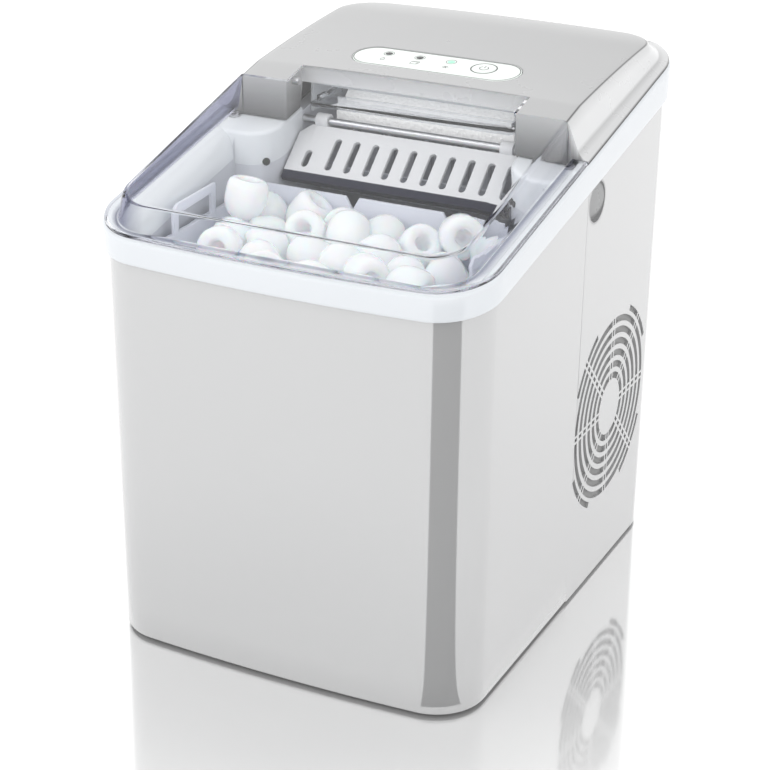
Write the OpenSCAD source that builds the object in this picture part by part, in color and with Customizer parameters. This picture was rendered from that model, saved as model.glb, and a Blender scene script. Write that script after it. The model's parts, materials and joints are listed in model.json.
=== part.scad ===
// Countertop ice maker that freezes bullet-shaped ice: tub with a lift-out basket under a clear hinged lid,
// an evaporator with dipping fingers, a tipping water tray, and a refrigeration bay behind and below the tub.
// Origin: centre of the footprint on the surface that it stands on. X to the right, Y to the back, Z up.

/* [Body] */
// Overall width across the top frame
body_w = 242; // [230:1:300]
// Overall depth across the top frame
body_d = 315; // [300:1:390]
// Overall height at the rear of the cover
body_h = 328; // [315:1:400]
// Corner radius of the top frame
rim_r = 34; // [26:1:44]
// How far the front face bows forward at its middle
front_bow = 2.7; // [1:0.1:5]
// Step from the top frame in to the body panels
shell_step = 2.8; // [1.5:0.1:5]
// Thickness of the body panels
shell_wall = 2; // [1.2:0.1:3]
// Depth position of the joint between front and rear panels
seam_y = 5; // [-10:1:15]

/* [Lid] */
// Thickness of the clear lid
lid_wall = 2.2; // [1.5:0.1:3]
// Gap under the lid's flange and beside its tongue
lid_gap = 0.4; // [0.3:0.1:0.8]
// Radius of the lid's hinge pins
pin_r = 2.2; // [1.6:0.1:2.8]
// Half width of the lid's tongue between the cover's two ears
tongue_w2 = 73.4; // [60:0.2:76]

/* [Cover] */
// Thickness of the top cover
cover_wall = 2.2; // [1.6:0.1:3]
// Length of the control panel
panel_l = 110; // [90:1:130]
// Width of the control panel
panel_w = 29; // [22:1:32]
// Radius of the power button
button_r = 7.2; // [5:0.1:9]

/* [Tub and basket] */
// Thickness of the tub's walls
tub_wall = 2.5; // [2:0.1:3.5]
// Depth from the lid's joint down to the tub's floor
tub_depth = 138; // [120:1:150]
// Gap between basket and tub
basket_gap = 5; // [3:0.5:8]
// Thickness of the basket's walls
basket_wall = 1.8; // [1.4:0.1:3]
// Height of the basket's side walls
basket_h = 88; // [60:1:92]

/* [Freezing] */
// Half width of the freezing chamber
chamber_w2 = 75; // [70:1:84]
// Inner radius of the water tray
tray_r = 27; // [25.5:0.1:28]
// Radius of each freezing finger
finger_r = 4; // [3:0.1:5]
// Distance between fingers along a row
finger_pitch = 25; // [20:0.5:28]
// Length of the shovel plate from its rod to its lower edge
shovel_l = 43; // [36:0.5:46]
// Width of each slot in the shovel plate
slot_w = 4.5; // [3:0.1:6]

/* [Air flow] */
// Outer radius of the fan's blades
fan_r = 44; // [36:1:48]
// Height of the fan's axis
fan_z = 112; // [104:1:130]
// Depth position of the fan's axis
fan_y = 63; // [58:1:72]
// Number of fan blades
fan_blades = 7; // [5:1:9]
// Number of full slot rings in the side vent
vent_rings = 6; // [4:1:6]

/* [Hidden] */
$fn = 48;
ARC_FN = 720;
BIG = 900;
EPS = 0.01;

// Sloping lines of the body, as heights over the depth position y
part_rise = 0.205;
band_rise = 0.185;
part_z0 = body_h - 41.5;
band_z0 = body_h - 59;
lid_top_z0 = body_h - 16.7;
function part_z(y) = part_z0 + part_rise * y;
function band_z(y) = band_z0 + band_rise * y;
function lid_top(y) = lid_top_z0 + (y < 0 ? 0.26 : 0.235) * y;

// The cover's top climbs with the lid's tongue, then follows a flattening curve to the rear
front_y = -body_d / 2;
rear_y = body_d / 2;
cover_y0 = -0.8;
notch_y = 19.2;
crest_run = rear_y - 7.5 - notch_y;
crest_rise = body_h - lid_top(notch_y);
function crest(y) = y < notch_y ? lid_top(y)
    : lid_top(notch_y) + crest_rise * (1.5 * (y - notch_y) / crest_run - 0.5 * pow((y - notch_y) / crest_run, 2));
tilt = atan(part_rise);

// Body outline
bow_half = body_w / 2 - rim_r;
bow_r = (bow_half * bow_half + front_bow * front_bow) / (2 * front_bow);
foot_h = 2;
pan_z = 5;
pan_t = 2.5;
pan_rim_h = 16;
shell_in = shell_step + shell_wall;
side_x = body_w / 2 - shell_step;
rear_face = rear_y - shell_step;
cover_in = 1.4;
skirt_h = 8;
lap_t = 1.2;
skirt_t = 2;
deck_drop = 2.5;
deck_t = 3;
ring_w = 8;
screw_x = body_w / 2 - 11.8;
screw_y = -3.2;

// Lid
lid_in = 13.5;
lid_front_in = 8.7;
lid_corner_r = 22;
lid_rear = cover_y0 - 1;
flange_t = 2.4;
flange_in = 1.4;
tab_l = 36;
tab_y = -104;
tongue_rear = notch_y - 2;
hinge_y = 8;
hinge_z = lid_top(hinge_y) - 6.2;
pin_fit = 0.05;
lug_t = 3.2;
lug_r = 4.4;
ear_gap = 1;
ear_wall = 2.2;

// Tub and freezing chamber
tub_w2 = body_w / 2 - 22;
tub_front = front_y + 13.5;
tub_corner = 20;
tub_floor = part_z0 - tub_depth;
tub_rear = -4;
chamber_y1 = 82;
chamber_floor = part_z0 - 90;
boss_r = 18;
boss_x = tub_w2 - 6;
boss_y = -3;
rib_h = 4;
tray_y = 49;
tray_z = part_z0 - 28.5;
tray_wall = 2;
tray_x2 = chamber_w2 - 5;
tray_half_arc = 80;
shaft_r = 3;
shaft_fit = 0.05;
rod_y = 22;
rod_z = part_z0 - 6;
rod_r = 2.4;
rod_fit = 0.06;
plate_t = 2.4;
plate_x2 = chamber_w2 - 1.5;
plate_drop = 41;
slot_l = 22.6;
slot_pitch = 12.6;
slot_x0 = -45.7;
slot_n = 10;
evap_x2 = 56;
evap_z0 = part_z0 - 2.5;
evap_h = 11.5;
evap_y0 = 37;
evap_y1 = 61;
finger_row = 8;
finger_tip = tray_z - 21;
front_fingers = 5;
roof_z = evap_z0 + evap_h + 4.5;
roof_t = 2.5;
shield_z = part_z0 + 5;
skirt_plate_z = part_z0 - 10;
sensor_r = 2.4;
sensor_h = 18;
sensor_cap_r = 8;
sensor_z = part_z0 - 24.5;

// Basket
basket_x2 = tub_w2 - basket_gap;
basket_front = tub_front + basket_gap;
basket_rear = -20;
basket_z = tub_floor + rib_h + 0.3;
basket_r = 14;
loop_y = -78;
loop_w = 46;
loop_h = 18;
loop_bar = 5;
rail_h = 10;
basket_slot = 4;

// Panel on the cover, as a frame tilted with the cover's top
panel_x = 1.5;
panel_y = 47;
panel_z = crest(panel_y);
panel_tilt = atan((crest(panel_y + 10) - crest(panel_y - 10)) / 20);
pocket_d = 1.5;
overlay_t = 1.1;
panel_gap = 0.3;
lamp_r = 2.5;
lamp_x = [-34, -13.3, 7.6];
lamp_y = 5.5;
button_x = 30.4;
button_y = 2.2;
button_gap = 0.35;
board_drop = 9;
board_t = 1.6;

// Refrigeration bay
comp_x = -50;
comp_y = 92;
comp_r = 42;
bay_z = pan_z + pan_t;
comp_z0 = bay_z + 14;
comp_z1 = chamber_floor - 24;
grommet_r = 7;
grommet_pcd = 2 * comp_r + 14;
coil_x0 = 40;
coil_t = 20;
coil_h = 96;
coil_w = 86;
fin_n = 20;
fin_t = 0.8;
shroud_x = coil_x0 + coil_t + 1;
motor_x = shroud_x + 4;
motor_l = 22;
motor_r = 16;
fan_x = motor_x + motor_l + 3;
hub_l = 12;
hub_r = 14;
vent_hub = 18;
vent_pitch = 7.25;
vent_slot = 4.1;
vent_rib = 1.5;
vent_rib_gap = 2.4;
screen_t = 0.8;
screen_r = vent_hub + vent_rings * vent_pitch + vent_slot;
outlet_n = 9;
outlet_pitch = 8;
scoop_r = 13.4;
scoop_y = 20;
scoop_z = band_z0 - 10.5;
scoop_angle = 16;
scoop_d = 8;
coil_r = 2.6;
drier_x = 12;
drier_y = 132;
drier_z = 70;
drier_h = 76;
valve_x = -2;
valve_y = 118;
pipe_r = 2.5;
evap_port_x = 30;
inlet_x = 70;
inlet_z = 42;
drain_y = -96;
drain_z = 30;
spout_r = 7;
barb_r = 4.5;
plug_r = 4.7;
flange_r = 11;
foam_gap = 0.5;
foam_top = band_z(front_y) - skirt_h - 1;
foam_y1 = chamber_y1 + tub_wall + 12;
pump_x = -14;
pump_y = 16;
pump_r = 17;
pump_h = 52;
intake_y = -34;
drain_hole_x = -60;
drain_hole_y = -110;
hose_r = 4;
fill_x = 60;
fill_z = tray_z + 10;

// ---- shared shapes ----

// Body outline in plan, inset by t: straight sides, rounded corners and a front that bows out as one arc
module plan(t) {
    w = body_w / 2 - t;
    r = rim_r - t;
    arc = bow_r - t;
    cx = w - r;
    arc_y = front_y + bow_r;
    cy = arc_y - sqrt(pow(arc - r, 2) - cx * cx);
    tx = cx * arc / (arc - r);
    back = rear_y - t;
    intersection() {
        translate([0, arc_y]) circle(r = arc, $fn = ARC_FN);
        translate([-tx, front_y]) square([2 * tx, cy - front_y]);
    }
    for (s = [-1, 1]) {
        translate([s * cx, cy]) circle(r = r, $fn = 96);
        translate([s * cx, back - r]) circle(r = r, $fn = 96);
    }
    translate([-w, cy]) square([2 * w, back - r - cy]);
    translate([-cx, cy]) square([2 * cx, back - cy]);
}

// Rectangle with round corners, from x0, y0 to x1, y1
module round_rect(x0, y0, x1, y1, r) {
    for (x = [x0 + r, x1 - r], y = [y0 + r, y1 - r]) translate([x, y]) circle(r = r);
    translate([x0 + r, y0]) square([x1 - x0 - 2 * r, y1 - y0]);
    translate([x0, y0 + r]) square([x1 - x0, y1 - y0 - 2 * r]);
}

// Side outline (depth, height) pushed along X over width w, centred
module side_prism(points, w = 2 * BIG) {
    translate([-w / 2, 0, 0]) rotate([90, 0, 90]) linear_extrude(w) polygon(points);
}

// 2D shape drawn as (depth, height), pushed from x0 to x1
module along_x(x0, x1) {
    translate([x0, 0, 0]) rotate([90, 0, 90]) linear_extrude(x1 - x0) children();
}

// Everything between two sloping lines given as heights at y = 0 and rises
module slope_slab(z_low, rise_low, z_high, rise_high, y0 = -BIG, y1 = BIG) {
    side_prism([[y0, z_low + rise_low * y0], [y1, z_low + rise_low * y1],
        [y1, z_high + rise_high * y1], [y0, z_high + rise_high * y0]]);
}

// Round rod along X
module rod_x(x0, x1, y, z, r) {
    translate([x0, y, z]) rotate([0, 90, 0]) cylinder(h = x1 - x0, r = r);
}

// Tube run through a list of points, with round elbows
module pipe(points, r) {
    for (i = [0 : len(points) - 2]) {
        a = points[i];
        d = points[i + 1] - a;
        l = norm(d);
        translate(a) rotate([0, acos(d[2] / l), atan2(d[1], d[0])]) cylinder(h = l, r = r, $fn = 24);
    }
    for (i = [1 : 1 : len(points) - 2]) translate(points[i]) sphere(r = r + 0.2, $fn = 24);
}

// Frame of the control panel: origin on the cover's surface, Z along its normal
module at_panel(x = 0, y = 0, z = 0) {
    translate([panel_x, panel_y, panel_z]) rotate([panel_tilt, 0, 0]) translate([x, y, z]) children();
}

module stadium(l, w, h) {
    linear_extrude(h) {
        for (s = [-1, 1]) translate([s * (l - w) / 2, 0]) circle(r = w / 2);
        square([l - w, w], center = true);
    }
}

// ---- housing ----

// Vertical wall that follows the body outline between two depth positions, up to the top frame
module wall_ring(t0, t1, y0, y1, low = foot_h) {
    intersection() {
        linear_extrude(body_h) difference() {
            plan(t0);
            plan(t1);
        }
        side_prism([[y0, low], [y1, low], [y1, band_z(y1)], [y0, band_z(y0)]], 2 * body_w);
    }
}

module base_pan() {
    color("dimgray") difference() {
        union() {
            translate([0, 0, pan_z]) linear_extrude(pan_t) plan(shell_in);
            translate([0, 0, pan_z]) linear_extrude(pan_rim_h) difference() {
                plan(shell_in);
                plan(shell_in + pan_t);
            }
            for (a = [30 : 120 : 270]) translate([comp_x, comp_y, pan_z])
                rotate(a) translate([grommet_pcd / 2, 0, 0]) cylinder(h = 5, r = 9);
        }
        for (a = [30 : 120 : 270]) translate([comp_x, comp_y, 0])
            rotate(a) translate([grommet_pcd / 2, 0, 0]) cylinder(h = 20, r = 2.6);
        for (x = [-60 : 12 : 60]) translate([x, -60, 0]) linear_extrude(20) round_rect(-2, -30, 2, 30, 1.9);
        for (s = [-1, 1]) translate([s * 96, rear_y, pan_z + pan_rim_h / 2]) rotate([90, 0, 0])
            cylinder(h = 20, r = 1.6);
    }
}

module feet() {
    color("black") for (sx = [-1, 1], sy = [-1, 1])
        translate([sx * (body_w / 2 - 30), sy * (body_d / 2 - 30), 0]) rotate_extrude()
            polygon([[0, 0], [9, 0], [10, 1], [10, pan_z], [0, pan_z]]);
}

module front_shell() {
    color("silver") difference() {
        wall_ring(shell_step, shell_in, front_y, seam_y);
        rod_x(-BIG, 0, drain_y, drain_z, spout_r);
    }
}

// Ring slots of the side vent, crossed by eight double spokes, with short outer arcs on the diagonals
module vent_slots() {
    difference() {
        union() {
            for (i = [0 : vent_rings - 1]) difference() {
                circle(r = vent_hub + i * vent_pitch + vent_slot, $fn = 96);
                circle(r = vent_hub + i * vent_pitch, $fn = 96);
            }
            for (a = [45 : 90 : 315]) difference() {
                rotate(a) intersection() {
                    circle(r = vent_hub + vent_rings * vent_pitch + vent_slot - 1, $fn = 96);
                    polygon([[0, 0], [BIG, -BIG * tan(19)], [BIG, BIG * tan(19)]]);
                }
                circle(r = vent_hub + vent_rings * vent_pitch - 0.6, $fn = 96);
            }
        }
        for (a = [0 : 45 : 135], s = [-1, 1]) rotate(a)
            translate([0, s * (vent_rib_gap + vent_rib) / 2]) square([2 * BIG, vent_rib], center = true);
    }
}

module rear_shell() {
    color("silver") difference() {
        union() {
            wall_ring(shell_step, shell_in, seam_y, rear_y);
            wall_ring(shell_in, shell_in + lap_t, seam_y - 7, seam_y + 3, pan_z + pan_rim_h + 1);
        }
        along_x(side_x - 6, side_x + 6) translate([fan_y, fan_z]) vent_slots();
        for (i = [0 : outlet_n - 1]) along_x(-side_x - 6, 6 - side_x)
            round_rect(60, 60 + i * outlet_pitch, 130, 60 + i * outlet_pitch + 4, 1.9);
        for (i = [0 : outlet_n - 1]) translate([-inlet_x, rear_y + 3, 110 + i * outlet_pitch])
            rotate([90, 0, 0]) linear_extrude(12) round_rect(-25, 0, 65, 4, 1.9);
        for (s = [-1, 1]) rod_x(s * side_x - 10, s * side_x + 10, scoop_y, scoop_z, scoop_r);
        translate([inlet_x, rear_y + 3, inlet_z]) rotate([90, 0, 0]) linear_extrude(12)
            round_rect(-14, -10, 14, 10, 3);
        for (s = [-1, 1]) translate([s * 96, rear_y + 3, pan_z + pan_rim_h / 2]) rotate([90, 0, 0])
            cylinder(h = 12, r = 1.8);
    }
}

// Finger scoops let into both sides: a cup whose floor slopes from flush at the rear to deep at the front
module side_grips() {
    color("silver") for (s = [-1, 1]) difference() {
        rod_x(s > 0 ? side_x - scoop_d - 1.5 : -side_x, s > 0 ? side_x : scoop_d + 1.5 - side_x,
            scoop_y, scoop_z, scoop_r);
        intersection() {
            rod_x(-BIG, BIG, scoop_y, scoop_z, scoop_r - 1.2);
            translate([s * side_x, scoop_y + scoop_r, scoop_z]) rotate([0, 0, -s * scoop_angle])
                translate([s > 0 ? 0 : -BIG, -BIG, -BIG / 2]) cube([BIG, BIG, BIG]);
        }
    }
}

// White rim of the body: an outer band between two sloping lines, and a deck around the tub's mouth
module top_frame() {
    color("white") difference() {
        union() {
            intersection() {
                linear_extrude(2 * body_h) difference() {
                    plan(0);
                    plan(ring_w);
                }
                slope_slab(band_z0, band_rise, part_z0, part_rise);
            }
            intersection() {
                linear_extrude(2 * body_h) difference() {
                    plan(shell_in + lap_t);
                    plan(shell_in + lap_t + skirt_t);
                }
                slope_slab(band_z0 - skirt_h, band_rise, band_z0, band_rise);
            }
            intersection() {
                linear_extrude(2 * body_h) difference() {
                    plan(ring_w - EPS);
                    mouth(0);
                }
                slope_slab(part_z0 - deck_drop - deck_t, part_rise, part_z0 - deck_drop, part_rise,
                    -BIG, chamber_y1 + 12);
            }
        }
        for (s = [-1, 1]) translate([s * screw_x, screw_y, part_z(screw_y) - deck_drop]) rotate([tilt, 0, 0])
            translate([0, 0, -20]) cylinder(h = 40, r = 1.6);
        for (s = [-1, 1]) rod_x(s > 0 ? 0 : 1 - side_x, s > 0 ? side_x - 1 : 0, scoop_y, scoop_z, scoop_r + 0.5);
    }
}

// Mouth of tub and chamber in plan, grown by t; the chamber is narrower and joins at round bosses
module mouth(t) {
    difference() {
        round_rect(-tub_w2 - t, tub_front - t, tub_w2 + t, boss_y + 3 + t, tub_corner + t);
        for (s = [-1, 1]) {
            translate([s * boss_x, boss_y]) circle(r = boss_r - t);
            translate([s > 0 ? boss_x : -boss_x - 60, boss_y - boss_r + t]) square([60, 60]);
        }
        for (s = [-1, 1]) translate([s > 0 ? chamber_w2 + t : -chamber_w2 - t - 60, boss_y]) square([60, 60]);
    }
    translate([-chamber_w2 - t, boss_y - 6]) square([2 * (chamber_w2 + t), chamber_y1 - boss_y + 6 + t]);
}

module frame_screws() {
    color("dimgray") for (s = [-1, 1])
        translate([s * screw_x, screw_y, part_z(screw_y) - deck_drop]) rotate([tilt, 0, 0]) {
            difference() {
                cylinder(h = 1.6, r = 3.4);
                translate([0, 0, 1.2]) cube([4.4, 1, 1], center = true);
                translate([0, 0, 1.2]) cube([1, 4.4, 1], center = true);
            }
            translate([0, 0, -9]) cylinder(h = 9 + EPS, r = 1.5);
        }
}

module shell_screws() {
    color("gray") for (s = [-1, 1]) translate([s * 96, rear_face, pan_z + pan_rim_h / 2]) rotate([-90, 0, 0]) {
        difference() {
            cylinder(h = 2, r = 3.4);
            translate([0, 0, 1.8]) cube([4.4, 1, 1.2], center = true);
            translate([0, 0, 1.8]) cube([1, 4.4, 1.2], center = true);
        }
        translate([0, 0, -8]) cylinder(h = 8 + EPS, r = 1.5);
    }
}

// ---- tub, chamber and their insulation ----

module tub_liner() {
    rim_low = part_z0 - deck_drop - deck_t;
    color("gainsboro") difference() {
        union() {
            intersection() {
                translate([0, 0, tub_floor - tub_wall]) linear_extrude(body_h) difference() {
                    mouth(tub_wall);
                    translate([-BIG, tub_rear + tub_wall]) square([2 * BIG, BIG]);
                }
                slope_slab(-BIG, 0, rim_low, part_rise);
            }
            intersection() {
                translate([0, 0, chamber_floor - tub_wall]) linear_extrude(body_h) mouth(tub_wall);
                slope_slab(-BIG, 0, rim_low, part_rise);
            }
            intersection() {
                translate([0, 0, tub_floor]) linear_extrude(body_h) intersection() {
                    mouth(tub_wall + 5);
                    plan(ring_w + 0.3);
                }
                slope_slab(rim_low - 2, part_rise, rim_low, part_rise);
            }
        }
        difference() {
            translate([0, 0, tub_floor]) linear_extrude(body_h) mouth(0);
            translate([-BIG, tub_rear, tub_floor - 1]) cube([2 * BIG, BIG, chamber_floor - tub_floor + 1]);
            for (x = [-60 : 40 : 60]) translate([x - 2, basket_front + 8, tub_floor - 1])
                cube([4, basket_rear - basket_front - 16, rib_h + 1]);
        }
        for (s = [-1, 1]) sensor_place(s) translate([0, 0, -12]) cylinder(h = 20, r = sensor_r);
        rod_x(-BIG, BIG, tray_y, tray_z, shaft_r + shaft_fit);
        rod_x(-BIG, BIG, rod_y, rod_z, rod_r);
        translate([drain_hole_x, drain_hole_y, tub_floor - 10]) cylinder(h = 20, r = hose_r);
        translate([pump_x, intake_y, tub_floor - 10]) cylinder(h = 20, r = hose_r);
        translate([0, chamber_y1 - 4, chamber_floor + sensor_h]) rotate([-90, 0, 0]) cylinder(h = 12, r = 5);
        evap_ports();
        translate([fill_x, chamber_y1 - 4, fill_z]) rotate([-90, 0, 0]) cylinder(h = 12, r = hose_r);
    }
}

// Place on the round boss beside the chamber, facing the middle of the basket
module sensor_place(s) {
    translate([s * boss_x, boss_y, sensor_z]) rotate([0, 0, s > 0 ? -135 : -45]) rotate([0, 90, 0])
        translate([0, 0, boss_r]) children();
}

module foam_jacket() {
    color("white") difference() {
        translate([0, 0, tub_floor - tub_wall - 12]) linear_extrude(foam_top - tub_floor + tub_wall + 12)
            difference() {
                intersection() {
                    plan(shell_in + lap_t + foam_gap);
                    translate([-BIG, -BIG]) square([2 * BIG, BIG + foam_y1]);
                }
                mouth(tub_wall);
            }
        translate([-BIG, boss_y + 6, -BIG]) cube([2 * BIG, BIG, BIG + chamber_floor - tub_wall]);
        translate([0, chamber_y1 + tub_wall - 1, chamber_floor + sensor_h]) rotate([-90, 0, 0])
            cylinder(h = foam_y1, r = sensor_cap_r + 0.5);
    }
    color("white") translate([0, 0, tub_floor - tub_wall - 12]) linear_extrude(12) difference() {
        intersection() {
            mouth(tub_wall);
            translate([-BIG, -BIG]) square([2 * BIG, BIG + boss_y]);
        }
        translate([drain_hole_x, drain_hole_y]) circle(r = 2 * hose_r);
        translate([pump_x, intake_y]) circle(r = 2 * hose_r);
    }
}

// Clearance holes for the refrigerant tube in the chamber's rear wall
module evap_ports() {
    for (x = [-evap_port_x, evap_port_x]) translate([x, chamber_y1 - 4, evap_z0 + 5]) rotate([-90, 0, 0])
        cylinder(h = 12, r = 4.5);
}

// Lid over the freezing chamber, with side and rear skirts
module chamber_roof() {
    w2 = chamber_w2 - 0.5;
    skirt = roof_z - evap_z0 + 1;
    color("white") difference() {
        union() {
            translate([-w2, 30, roof_z]) cube([2 * w2, chamber_y1 - 30, roof_t]);
            translate([-w2, chamber_y1 - 3, roof_z - skirt]) cube([2 * w2, 3, skirt]);
            for (x = [-w2, w2 - 2]) translate([x, 30, roof_z - skirt]) cube([2, chamber_y1 - 30, skirt]);
        }
        evap_ports();
    }
}

// ---- cover and panel ----

// Outer form of the cover, inset by t. Its lower end goes down by drop below the joint line.
module cover_form(t, drop = 0) {
    base = body_w / 2 - cover_in - t;
    crease = base - 13.6;
    tail = rear_y - cover_in - t;
    round = min(7, (body_h - part_z(tail)) * 0.7);
    top_end = tail - round;
    intersection() {
        translate([0, 0, part_z0]) rotate([tilt, 0, 0]) rotate([90, 0, 0]) translate([0, 0, -BIG])
            linear_extrude(2 * BIG)
                polygon([[-base, -drop - 30], [base, -drop - 30], [base, 0], [base - 6, 6], [crease, 25],
                    [crease - 8, 45], [8 - crease, 45], [-crease, 25], [6 - base, 6], [-base, 0]]);
        side_prism(concat(
            [[cover_y0 + t, part_z(cover_y0 + t) - drop], [tail, part_z(tail) - drop]],
            [for (a = [0 : 10 : 90]) [top_end + round * cos(a), crest(top_end) - t - round * (1 - sin(a))]],
            [for (k = [10 : -1 : 1]) let(y = notch_y + (top_end - notch_y) * k / 10.5) [y, crest(y) - t]],
            [[notch_y, crest(notch_y) - t], [cover_y0 + t, crest(cover_y0 + t) - t]]));
        linear_extrude(2 * body_h) plan(cover_in + t);
    }
}

module top_cover() {
    ear_x = tongue_w2 + ear_gap;
    color("silver") difference() {
        union() {
            difference() {
                cover_form(0);
                cover_form(cover_wall, 5);
            }
            intersection() {
                cover_form(0);
                for (s = [-1, 1]) translate([s > 0 ? ear_x : -ear_x - ear_wall, cover_y0, 0])
                    cube([ear_wall, notch_y - cover_y0 + 6, BIG]);
            }
            for (x = [-48, 48], y = [-9, 9]) at_panel(x, y, -board_drop + EPS) cylinder(h = board_drop - 1, r = 2.6);
        }
        translate([-ear_x, cover_y0 - 5, 0]) cube([2 * ear_x, notch_y - cover_y0 + 5, BIG]);
        at_panel(0, 0, -pocket_d) stadium(panel_l, panel_w, 10);
        for (x = lamp_x) at_panel(x, lamp_y, -10) cylinder(h = 20, r = lamp_r);
        at_panel(button_x, button_y, -10) cylinder(h = 20, r = button_r + button_gap);
        for (s = [-1, 1]) rod_x(s > 0 ? ear_x - 1 : -ear_x - 8, s > 0 ? ear_x + 8 : 1 - ear_x,
            hinge_y, hinge_z, pin_r + pin_fit);
    }
}

module panel_overlay() {
    color("honeydew") difference() {
        at_panel(0, 0, -pocket_d) stadium(panel_l - 2 * panel_gap, panel_w - 2 * panel_gap, overlay_t);
        for (x = lamp_x) at_panel(x, lamp_y, -10) cylinder(h = 20, r = lamp_r);
        at_panel(button_x, button_y, -10) cylinder(h = 20, r = button_r + button_gap);
    }
}

module indicator_lenses() {
    color("aquamarine") for (x = lamp_x) at_panel(x, lamp_y, -5) cylinder(h = 5 - pocket_d + overlay_t, r = lamp_r);
}

module power_button() {
    color("honeydew") {
        at_panel(button_x, button_y, -3) cylinder(h = 3 - pocket_d + overlay_t + 0.2, r = button_r);
        at_panel(button_x, button_y, -board_drop + 2.6) cylinder(h = board_drop - 5, r = 2);
        at_panel(button_x, button_y, -3.8) cylinder(h = 0.9, r = button_r + 1);
    }
}

module display_board() {
    color("green") difference() {
        at_panel(0, 0, -board_drop - board_t) linear_extrude(board_t) round_rect(-54, -13, 54, 13, 2);
        for (x = [-48, 48], y = [-9, 9]) at_panel(x, y, -board_drop - 5) cylinder(h = 5, r = 1.2);
    }
    color("black") {
        at_panel(button_x - 3, button_y - 3, -board_drop) cube([6, 6, 1.1]);
        for (x = lamp_x) at_panel(x, lamp_y, -board_drop) cylinder(h = board_drop - 5, r = 1.5);
        at_panel(-30, -7, -board_drop) cube([14, 5, 2.5]);
    }
}

module control_board() {
    y = rear_face - shell_wall - 8;
    z = chamber_floor + 2;
    color("darkgreen") translate([-64, y - 1.6, z]) cube([128, 1.6, 74]);
    color("black") {
        for (x = [-58, 58], h = [6, 68]) translate([x, y, z + h]) rotate([-90, 0, 0]) cylinder(h = 8, r = 3);
        translate([-50, y - 19.6, z + 12]) cube([34, 18, 28]);
        translate([-8, y - 15.6, z + 44]) cube([20, 14, 16]);
        translate([20, y - 15.6, z + 44]) cube([20, 14, 16]);
        translate([14, y - 1.6, z + 20]) rotate([90, 0, 0]) cylinder(h = 20, r = 6);
        translate([34, y - 1.6, z + 20]) rotate([90, 0, 0]) cylinder(h = 16, r = 5);
        translate([-54, y - 7.6, z + 56]) cube([36, 6, 8]);
    }
}

// ---- lid ----

// Raised part of the lid, inset by t, from below the joint line up to its sloping top
module lid_form(t, drop = 0) {
    w = body_w / 2 - lid_in - t;
    y0 = front_y + lid_front_in + t;
    y1 = lid_rear - t;
    r = lid_corner_r - t;
    intersection() {
        linear_extrude(2 * body_h) {
            round_rect(-w, y0, w, y1 - r, r);
            translate([-w, y0 + 2 * r]) square([2 * w, y1 - y0 - 2 * r]);
        }
        side_prism([[y0 - 5, part_z(y0 - 5) + lid_gap - drop], [y1 + 5, part_z(y1 + 5) + lid_gap - drop],
            [y1 + 5, lid_top(y1 + 5) - t], [0, lid_top(0) - t], [y0 - 5, lid_top(y0 - 5) - t]]);
    }
}

module lid() {
    color("lightblue", 0.4) difference() {
        union() {
            difference() {
                union() {
                    lid_form(0);
                    intersection() {
                        linear_extrude(2 * body_h) intersection() {
                            plan(flange_in);
                            translate([-BIG, -BIG]) square([2 * BIG, BIG + lid_rear]);
                        }
                        slope_slab(part_z0 + lid_gap, part_rise, part_z0 + lid_gap + flange_t, part_rise);
                    }
                }
                lid_form(lid_wall, 5);
                translate([lid_wall - tongue_w2, lid_rear - lid_wall - 1, 0])
                    cube([2 * (tongue_w2 - lid_wall), 10, lid_top(0) - lid_wall - 0.6]);
            }
            side_prism([[lid_rear - 8, lid_top(lid_rear - 8) - lid_wall], [0, lid_top(0) - lid_wall],
                [tongue_rear, lid_top(tongue_rear) - lid_wall], [tongue_rear, lid_top(tongue_rear)],
                [0, lid_top(0)], [lid_rear - 8, lid_top(lid_rear - 8)]], 2 * tongue_w2);
            for (s = [-1, 1]) {
                x0 = s > 0 ? tongue_w2 - lug_t : -tongue_w2;
                rod_x(x0, x0 + lug_t, hinge_y, hinge_z, lug_r);
                translate([x0, 0, 0]) rotate([90, 0, 90]) linear_extrude(lug_t)
                    polygon([[lid_rear - 4, lid_top(lid_rear - 4) - 1], [lid_rear - 4, hinge_z - 4],
                        [hinge_y, hinge_z - 4], [hinge_y + lug_r, hinge_z], [hinge_y + lug_r, lid_top(hinge_y + lug_r) - 1]]);
            }
            for (s = [-1, 1]) lid_tab(s);
        }
        for (s = [-1, 1]) rod_x(s > 0 ? tongue_w2 - lug_t - 1 : -tongue_w2 - 1,
            s > 0 ? tongue_w2 + 1 : 1 + lug_t - tongue_w2, hinge_y, hinge_z, pin_r);
    }
}

// Finger tab on the flange: a thicker lip with chamfered ends, flush with the frame's side
module lid_tab(s) {
    z = part_z(tab_y) + lid_gap;
    translate([s > 0 ? body_w / 2 - 4.5 : 0.2 - body_w / 2, tab_y, z]) rotate([tilt, 0, 0])
        rotate([90, 0, 90]) linear_extrude(4.3)
            polygon([[-tab_l / 2, 0.2], [tab_l / 2, 0.2], [tab_l / 2 - 2, 5], [2 - tab_l / 2, 5]]);
}

module lid_hinge_pins() {
    color("silver") for (s = [-1, 1])
        rod_x(s > 0 ? tongue_w2 - lug_t : -tongue_w2 - ear_gap - ear_wall - 1,
            s > 0 ? tongue_w2 + ear_gap + ear_wall + 1 : lug_t - tongue_w2, hinge_y, hinge_z, pin_r);
}

// ---- basket, shovel and water tray ----

module basket_plan(t) {
    round_rect(t - basket_x2, basket_front + t, basket_x2 - t, basket_rear - t, basket_r - t);
}

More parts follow.
